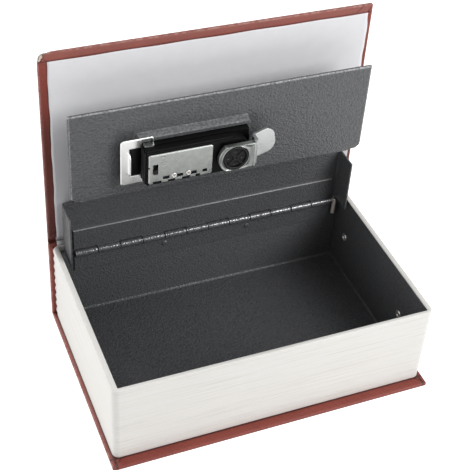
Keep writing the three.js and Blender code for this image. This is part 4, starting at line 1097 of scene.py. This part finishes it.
# %% [markdown]
# The dial cover plate hangs over the dials like a shallow lid. Its upper and left edges are rolled
# back, two round marks are stamped beside the slot of the code lever, and each dial has a window and
# a notch under it, through which the dial's edge shows.

# %% Dial cover plate
plate_low, plate_high = span("dial_cover_plate")
slot_hole = (-42.2, -39.6, 115.0, 120.6)
window_places = [(-35.3, 3.4), (-28.2, 3.4), (-21.1, 3.4), (-15.2, 2.4)]
notch_places = [(-40.0, 4.6), (-32.5, 3.8), (-25.0, 4.1), (-18.8, 2.4)]
cover_holes = [slot_hole, (plate_low[0], plate_low[0] + 0.7, 118.4, 119.3)]
cover_holes += [(x - w / 2, x + w / 2, 110.9, 112.7) for x, w in window_places]
cover_holes += [(x - w / 2, x + w / 2, 109.0, 110.3) for x, w in notch_places]
cover_x = grid_lines(plate_low[0], plate_high[0], 86, sorted({x for hole in cover_holes for x in hole[:2]})[1:])
cover_z = grid_lines(plate_low[2], plate_high[2], 60, (110.3, 110.9, 112.7, 115.0, 118.4, 119.3, 120.6))


def cover_depth(x, z, from_edge):
    """The face, rolled back by a quarter circle at the top and the left, with two ring-shaped marks."""
    roll = np.clip(1 - np.minimum(plate_high[2] - z, (x - plate_low[0]) * 1.6) / 0.8, 0, 1)
    ring = sum(np.exp(-((np.hypot(x - cx, z - cz) - r) / 0.22) ** 2) for cx, cz, r in
               [(-37.2, 123.6, 1.25), (-36.8, 120.4, 0.95)])
    return plate_low[1] + 0.05 + 0.7 * (1 - np.sqrt(1 - roll ** 2 * 0.98)) + 0.1 * ring


cover_parts = [punched(cover_x, cover_z, cover_holes, cover_depth, 0.9)]
sheet_metal(make_piece("stamped_cover_plate", cover_parts, dull_zinc, "lid", replaces="dial_cover_plate", sharp=50),
            0.8, 0.1)

# %% [markdown]
# The clip is a C of nickel-plated sheet that is pushed over the left end of the lock. Its upper arm
# is only a narrow frame, the inner edge of the opening is bent forward as a lip for the thumb, and a
# short tongue lies on top of the lock's body.

# %% Retaining clip
clip_low, clip_high = span("retaining_clip")
clip_face = clip_high[1] - sheet_gauge
clip_holes = [(-51.5, -45.4, 109.6, 126.0), (-45.4, clip_high[0] + 1, 107.4, 128.2), (-45.4, -39.5, 128.0, 130.7)]
clip_x = grid_lines(clip_low[0], clip_high[0], 44, (-51.5, -45.4, -39.5))
clip_z = grid_lines(clip_low[2], clip_high[2], 64, (107.4, 109.6, 126.0, 128.2, 130.7))


def clip_depth(x, z, from_edge):
    """A flat face whose outer edge falls back by a small quarter circle."""
    roll = np.clip(1 - from_edge / 0.45, 0, 1)
    return clip_face + 0.35 * (1 - np.sqrt(1 - 0.98 * roll ** 2))


lip_x, lip_y = folded_path([(-53.4, clip_face - 0.02), (-51.95, clip_face - 0.02), (-51.95, clip_low[1])],
                           [0.6]).T[..., None]
lip_share = np.clip((clip_face - lip_y) / 2.6, 0, 1)
lip_top, lip_bottom = 124.2 - 2.2 * lip_share ** 1.5, 111.4 + 0.5 * lip_share
lip_points = grid(lip_x, lip_y, lip_top + (lip_bottom - lip_top) * np.linspace(0, 1, 20))
tongue_y = 26.7 + 3.7 * (1 - np.cos(np.linspace(0, np.pi / 2, 12)))[:, None]
tongue_half = 1.1 + np.sqrt(np.clip(1.6 ** 2 - (1.6 - np.clip(tongue_y - 26.7, 0, 1.6)) ** 2, 0, None))
tongue_points = grid(-42 + tongue_half * np.linspace(-1, 1, 12), tongue_y, 128.1)
clip_parts = [punched(clip_x, clip_z, clip_holes, clip_depth, 1.6), sheet(lip_points)]
sheet_metal(make_piece("c_shaped_clip", clip_parts, nickel_plate, "lid", replaces="retaining_clip", sharp=50),
            0.5, 0.1)
sheet_metal(make_piece("clip_tongue", [sheet(tongue_points)], dull_zinc, "lid", sharp=50), 0.5, 0.1)

# %% [markdown]
# The outer bezel frames the dials and the knob on the lid's outer side. It faces the other way, so
# its grid runs from right to left.

# %% Outer bezel
bezel_low, bezel_high = span("outer_bezel")
dial_centres = [sum(span(f"number_dial_{i}")) / 2 for i in (1, 2, 3)]
dial_windows = [(c[0] - 2.9, c[0] + 2.9, c[2] - 6.5, c[2] + 6.5) for c in dial_centres]
bezel_holes = dial_windows + [(-3.3, 3.3, 114.5, 121.1)]
bezel_x = grid_lines(bezel_low[0], bezel_high[0], 110, sorted({x for hole in bezel_holes for x in hole[:2]}))[::-1]
bezel_z = grid_lines(bezel_low[2], bezel_high[2], 60, sorted({z for hole in bezel_holes for z in hole[2:]}))


def bezel_depth(x, z, from_edge):
    """A face that falls away round its outline and dishes gently round each dial window."""
    fall = np.clip(1 - from_edge / 1.6, 0, 1)
    dish = sum(smooth_step((inside_rectangle(x, z, (w[0] - 1.1, w[2] - 1.1), (w[1] + 1.1, w[3] + 1.1), 1.2)) / 1.1)
               for w in dial_windows)
    return bezel_high[1] - 1.1 * (1 - np.sqrt(1 - 0.98 * fall ** 2)) - 0.35 * np.clip(dish, 0, 1)


bezel_parts = [punched(bezel_x, bezel_z, bezel_holes, bezel_depth, 3.0)]
sheet_metal(make_piece("stamped_bezel", bezel_parts, nickel_plate, "lid", replaces="outer_bezel", sharp=50),
            1.2, 0.08)

# %% [markdown]
# ## Cam latch and cap
# The cam is a thick plated stamping that turns with the knob. Round the cap it has a broad bright
# collar, its right edge steps back in a chamfered web, and the web ends in the tongue that goes under
# the strike. The collar is a ring of rays: each ray runs from the outline of the plate, where it
# meets one of two flats, an end face or an arc, in to the round pocket.

# %% Cam collar
spindle_z = 117.8
cam_low, cam_high = span("cam_latch")
cam_gauge = 2.7
cam_front, cam_back = cam_low[1], cam_low[1] + cam_gauge
half_flat, end_face, arc_radius, pocket_radius = 7.2, 10.2, 9.0, 6.85
corner_turns = np.array([math.atan2(half_flat, end_face), math.pi - math.asin(half_flat / arc_radius)])
turn = np.sort(np.concatenate([np.arange(120) / 120 * 2 * np.pi, corner_turns, 2 * np.pi - corner_turns]))
flat_reach = half_flat / np.maximum(np.abs(np.sin(turn)), 1e-6)
end_reach = np.where(np.cos(turn) > 0, end_face / np.maximum(np.cos(turn), 1e-6), arc_radius)
outline_radius = np.minimum(flat_reach, end_reach)
ray_share, ray_depth = np.array([
    (0.0, cam_gauge), (0.0, 0.5), (0.02, 0.25), (0.07, 0.07), (0.14, 0.0), (0.3, 0.0), (0.4, 0.12), (0.5, 0.34),
    (0.62, 0.4), (0.74, 0.34), (0.84, 0.12), (0.92, 0.05), (0.97, 0.12), (1.0, 0.35), (1.0, cam_gauge)]).T[..., None]
ray = outline_radius + (pocket_radius - outline_radius) * ray_share
collar = grid(ray * np.cos(turn), cam_front + ray_depth, spindle_z + ray * np.sin(turn))
make_piece("cam_collar", [sheet(collar, rows_close=True, columns_close=True)], cam_zinc, "latch",
           replaces="cam_latch", sharp=60)

# %% [markdown]
# The web and the tongue are one bent strip whose lower and upper edge are a curve and a line.

# %% Cam tongue
tongue_face, tongue_start, bend_end = cam_high[1] - 1.8, 12.6, 14.0
sweep, tip_radius, shoulder_x, shoulder_radius = 23.6, 24.0, 18.0, 5.5
bent = folded_path([(end_face - 0.25, cam_front + 0.12), (end_face, cam_front + 0.12), (tongue_start, cam_back),
                    (tongue_start, tongue_face), (bend_end, tongue_face)], [0.15, 0.8, 0.9])
reach_x = bend_end + (cam_high[0] - 0.02 - bend_end) * np.sin(np.linspace(0, np.pi / 2, 22))[1:]
strip_x, strip_y = np.concatenate([bent, np.stack([reach_x, np.full(21, tongue_face)], -1)]).T
beyond_web = np.clip(strip_x, end_face, None) - end_face
t = (sweep + 2 - np.sqrt(np.clip((sweep + 2) ** 2 - 2 * sweep * beyond_web, 4, None))) / sweep
on_tongue = strip_y > tongue_face - 0.3
lower_edge = np.where(on_tongue, -half_flat * (1 - t ** 2), -half_flat)
upper_edge = np.where(on_tongue, half_flat + np.clip(strip_x - tongue_start, 0, None) * 0.37, half_flat)
upper_edge = np.minimum(upper_edge, np.sqrt(np.clip(tip_radius ** 2 - strip_x ** 2, 0, None)))
past_shoulder = np.clip(strip_x - shoulder_x, 0, shoulder_radius)
shoulder = np.sqrt(shoulder_radius ** 2 - past_shoulder ** 2)
upper_edge = np.where(strip_x > shoulder_x, np.minimum(upper_edge, 4.0 + shoulder), upper_edge)
strip_z = upper_edge[:, None] + (lower_edge - upper_edge)[:, None] * np.linspace(0, 1, 24)
strip = grid(strip_x[:, None], strip_y[:, None], spindle_z + strip_z)
sheet_metal(make_piece("cam_tongue", [sheet(strip)], zinc_plate, "latch", sharp=50), 1.7, 0.2)

# %% [markdown]
# The black cap is a moulding with a raised rim, four ribs that cross in a hub, and small core holes
# between them. It is a height over polar coordinates: the distance to the nearest rib decides between
# the floor and the rib, with a soft step of 0.3 mm.

# %% Cap
cap_front = span("cam_cap")[0][1]
cap_turn = np.arange(144) / 144 * 2 * np.pi
rib_turn = 2 * (cap_turn - 0.72)
inner_radius = np.linspace(5.35, 0.12, 40)[:, None]
to_rib = np.abs(inner_radius * np.sin(rib_turn) / 2)
rib = smooth_step((0.62 - to_rib) / 0.3 + 0.5) * (inner_radius < 5.2)
hub = smooth_step((1.5 - inner_radius) / 0.3 + 0.5)
bore_hole = smooth_step((0.6 - inner_radius) / 0.25 + 0.5)
core = smooth_step((0.75 - np.hypot(inner_radius * np.cos(rib_turn) / 2, inner_radius * 0.9 - 3.3)) / 0.3 + 0.5)
floor_height = 1.15 - 0.85 * np.maximum(rib, hub) + 0.8 * bore_hole + 0.35 * core
rim_radius, rim_height = np.array([(6.6, 1.95), (6.6, 0.25), (6.5, 0.07), (6.3, 0.0), (5.75, 0.0), (5.55, 0.1),
                                   (5.45, 0.35)]).T[..., None]
cap_radius = np.concatenate([rim_radius, inner_radius])
cap_height = np.concatenate([rim_height + 0 * cap_turn, floor_height])
cap_points = grid(cap_radius * np.cos(cap_turn), cap_front + np.minimum(cap_height, 1.95),
                  spindle_z + cap_radius * np.sin(cap_turn))
make_piece("ribbed_cap", [closed(cap_points)], black_plastic, "latch", replaces="cam_cap", sharp=60)

# %% [markdown]
# ## Turn knob
# The knob on the outer side is a round base with a grip bar across it. The bar is a rounded rectangle
# that gets a little smaller on its way up, which a moulding needs to leave its mould, and its top edge
# is rounded over.

# %% Knob
knob_low, knob_high = span("turn_knob")
base_radius, base_start, base_thick = 8.6, 38.35, 2.2
base_profile = [(base_radius - 0.3, 0), (base_radius, 0.3), (base_radius, base_thick - 0.7),
                (base_radius - 0.2, base_thick - 0.2), (base_radius - 0.7, base_thick), (0.2, base_thick)]
rise_of_bar = knob_high[1] - base_start - base_thick
bar_inset, bar_y = np.array([(0.0, -0.2), (0.0, 0.0), (0.25, rise_of_bar - 1.3), (0.45, rise_of_bar - 0.6),
                             (0.85, rise_of_bar - 0.15), (1.4, rise_of_bar), (2.3, rise_of_bar)]).T
grip = rings([-8.2, spindle_z - 2.7] + bar_inset[:, None], [8.2, spindle_z + 2.7] - bar_inset[:, None],
             np.maximum(2.65 - bar_inset, 0.3), corner_steps=10, side_steps=8)
spindle_length = base_start - knob_low[1]
make_piece("grip_knob", [
    turned(base_profile, (0, base_start, spindle_z), (0, 1, 0), 64),
    closed(grid(-grip[..., 0], (base_start + base_thick + bar_y)[:, None], grip[..., 1])),
    turned([(2.9, 0), (3.0, 0.2), (3.0, spindle_length)], (0, knob_low[1], spindle_z), (0, 1, 0), 32),
], black_plastic, "latch", replaces="turn_knob")

# %% [markdown]
# ## Number dials
# The digits on the dials are white, as on a wheel that is moulded in two colours. Each digit starts as
# flat text in a plain typeface and becomes a mesh, whose doubled points are merged.

# %% Digits
digit_ink, node, shader, where = new_material("white two-shot numerals")
fleck = node("TexNoise", Vector=where, Scale=PER_MM / 0.6, Detail=3.0)
fill(shader, {"Base Color": node("Mix", fleck, "#d6d4cd", "#efeeea", data_type="RGBA"), "Roughness": 0.45})


def flat_digit(figure):
    """Points and faces of one digit, as a solid letter 0.3 mm thick that is centred on the origin."""
    text = bpy.data.curves.new("digit", "FONT")
    text.body, text.size, text.extrude = figure, 3.9, 0.15
    text.align_x, text.align_y = "CENTER", "CENTER"
    holder = put_in_scene("digit", text)
    made = bpy.data.meshes.new_from_object(holder.evaluated_get(bpy.context.evaluated_depsgraph_get()))
    flat = np.empty(len(made.vertices) * 3)
    made.vertices.foreach_get("co", flat)
    flat, merged = np.unique(flat.reshape(-1, 3).round(4), axis=0, return_inverse=True)
    merged = merged.ravel().tolist()
    faces = [[merged[corner] for corner in face.vertices] for face in made.polygons]
    bpy.data.objects.remove(holder)
    bpy.data.curves.remove(text)
    bpy.data.meshes.remove(made)
    return flat - (flat.max(0) + flat.min(0)) / 2 * [1, 1, 0], faces


digits = [flat_digit(str(figure)) for figure in range(10)]
print("points of the digits:", sum(len(flat) for flat, faces in digits))

# %% [markdown]
# A dial is a round wheel with ten places for the digits and ten grip notches between them. Its radius is a
# function of the angle, lower by half a millimetre at each notch. A digit is wrapped round the wheel:
# its height on the page becomes an angle, and its thickness a radius.

# %% Dials
dial_radius, flats = 7.3, 10
notch_width, notch_depth, notch_floor = 0.62, 0.55, 6.3
around = np.arange(240) / 240 * 2 * np.pi
from_notch = ((around / (2 * np.pi) * flats + 0.5) % 1 - 0.5) * 2 * np.pi / flats * dial_radius
rim_profile, rim_place = np.array([
    (3.4, -3.6), (3.4, -2.6), (6.3, -2.6), (6.95, -2.6), (7.22, -2.4), (7.3, -2.1), (7.3, 2.1), (7.22, 2.4),
    (6.95, 2.6), (6.3, 2.6), (3.4, 2.6), (3.4, 3.6)]).T[..., None]
notched = np.clip((rim_profile - notch_floor) / 0.6, 0, 1) * np.exp(-(from_notch / notch_width) ** 2)
wheel_radius = rim_profile - notched * notch_depth
for i, centre in enumerate(dial_centres, 1):
    wheel = grid(centre[0] + rim_place, centre[1] + wheel_radius * np.cos(around - np.pi / flats),
                 centre[2] + wheel_radius * np.sin(around - np.pi / flats))
    make_piece(f"notched_dial_{i}", [closed(wheel)], black_plastic, f"dial_{i}", replaces=f"number_dial_{i}",
               sharp=50)
    wrapped = []
    for figure, (flat, faces) in enumerate(digits):
        angle = figure * np.pi / 5 - flat[:, 1] / dial_radius
        radius = dial_radius - 0.08 + flat[:, 2]
        wrapped.append((grid(centre[0] + flat[:, 0], centre[1] + radius * np.cos(angle),
                             centre[2] + radius * np.sin(angle)), faces))
    make_piece(f"dial_numerals_{i}", wrapped, digit_ink, f"dial_{i}", sharp=30)

# %% [markdown]
# ## Posts of the lock body
# The left end of the black body is not plain: three round posts stand between its front and the lid,
# a low rib follows its upper edge, and a thin flange fills the opening of the clip. The posts and the
# rib are turned bars with rounded ends, and the flange is a few rounded rectangles.

# %% Lock body posts
post_profile = [(0.5, 0), (0.8, 0.12), (0.8, 18.6), (0.5, 18.72)]
rib_profile = [(0.3, 0), (0.45, 0.1), (0.45, 44.0), (0.3, 44.1)]
flange_inset, flange_depth = np.array([(0.25, 30.65), (0.0, 30.5), (0.0, 30.2), (0.25, 30.05)]).T
flange = rings([-51.2, 109.9] + flange_inset[:, None], [-45.2, 125.7] - flange_inset[:, None],
               0.8 - flange_inset, side_steps=4)
make_piece("lock_body_posts", [
    *[turned(post_profile, (-45.25, y, 108.45), (0, 0, 1), 20) for y in (28.6, 26.2, 23.8)],
    turned(rib_profile, (-44.6, 23.4, 127.35), (1, 0, 0), 16),
    closed(grid(flange[..., 0], flange_depth[:, None], flange[..., 1])),
], shaded_black_plastic, "lid")

# %% [markdown]
# ## Stage
# The photograph has a plain white ground with hardly any shadow. The floor is white and still takes
# the object's shadow. The backdrop is the world itself: it shows white to the camera and to
# reflections, while its light on the object stays at a plain studio level. Three soft square lamps
# light the object from the front right, the left and the back.

# %% Floor, world and lamps
floor_mesh = bpy.data.meshes.new("floor")
floor_mesh.from_pydata([(-3, -3, 0), (3, -3, 0), (3, 3, 0), (-3, 3, 0)], [], [(0, 1, 2, 3)])
floor = put_in_scene("floor", floor_mesh)
floor_paint, node, shader, where = new_material("white studio floor")
path = node("LightPath").node.outputs
glow = strongest(node, [(0.74, path["Is Camera Ray"]), (0.55, path["Is Glossy Ray"])])
fill(shader, {"Base Color": "#f2f2f2", "Roughness": 0.9, "Emission Color": "#ffffff", "Emission Strength": glow})
floor_mesh.materials.append(floor_paint)

world = bpy.data.worlds.new("studio")
bpy.context.scene.world = world
world.use_nodes = True
world.node_tree.nodes.clear()
node = functools.partial(add, world.node_tree)
path = node("LightPath").node.outputs
seen = strongest(node, [(1.0, path[f"Is {kind} Ray"]) for kind in ("Camera", "Glossy", "Transmission")])
sky = node("Background", Color="#ffffff", Strength=node("MapRange", seen, 0.0, 1.0, 0.32, 1.0))
node("OutputWorld", Surface=sky)


def softbox(name, place, aim, size_mm, watts):
    """A square area lamp at one point, turned towards another. Both points are in millimetres."""
    lamp_data = bpy.data.lights.new(name, "AREA")
    lamp_data.size, lamp_data.energy = size_mm * MM, watts
    lamp = put_in_scene(name, lamp_data)
    place = np.array(place, float)
    back = (place - aim) / np.linalg.norm(place - aim)
    side = np.cross([0, 0, 1], back)
    side /= np.linalg.norm(side)
    rows = np.stack([side, np.cross(back, side), back, place * MM], -1).tolist()
    lamp.matrix_world = Matrix([*rows, [0, 0, 0, 1]])


softbox("key", (520, -600, 620), (0, 20, 60), 500, 6.6)
softbox("left", (-700, 60, 70), (-86, 0, 40), 300, 1.9)
softbox("back", (-250, 640, 560), (0, 60, 80), 500, 3.0)
bpy.context.scene.view_settings.view_transform = "Standard"
print("lit")
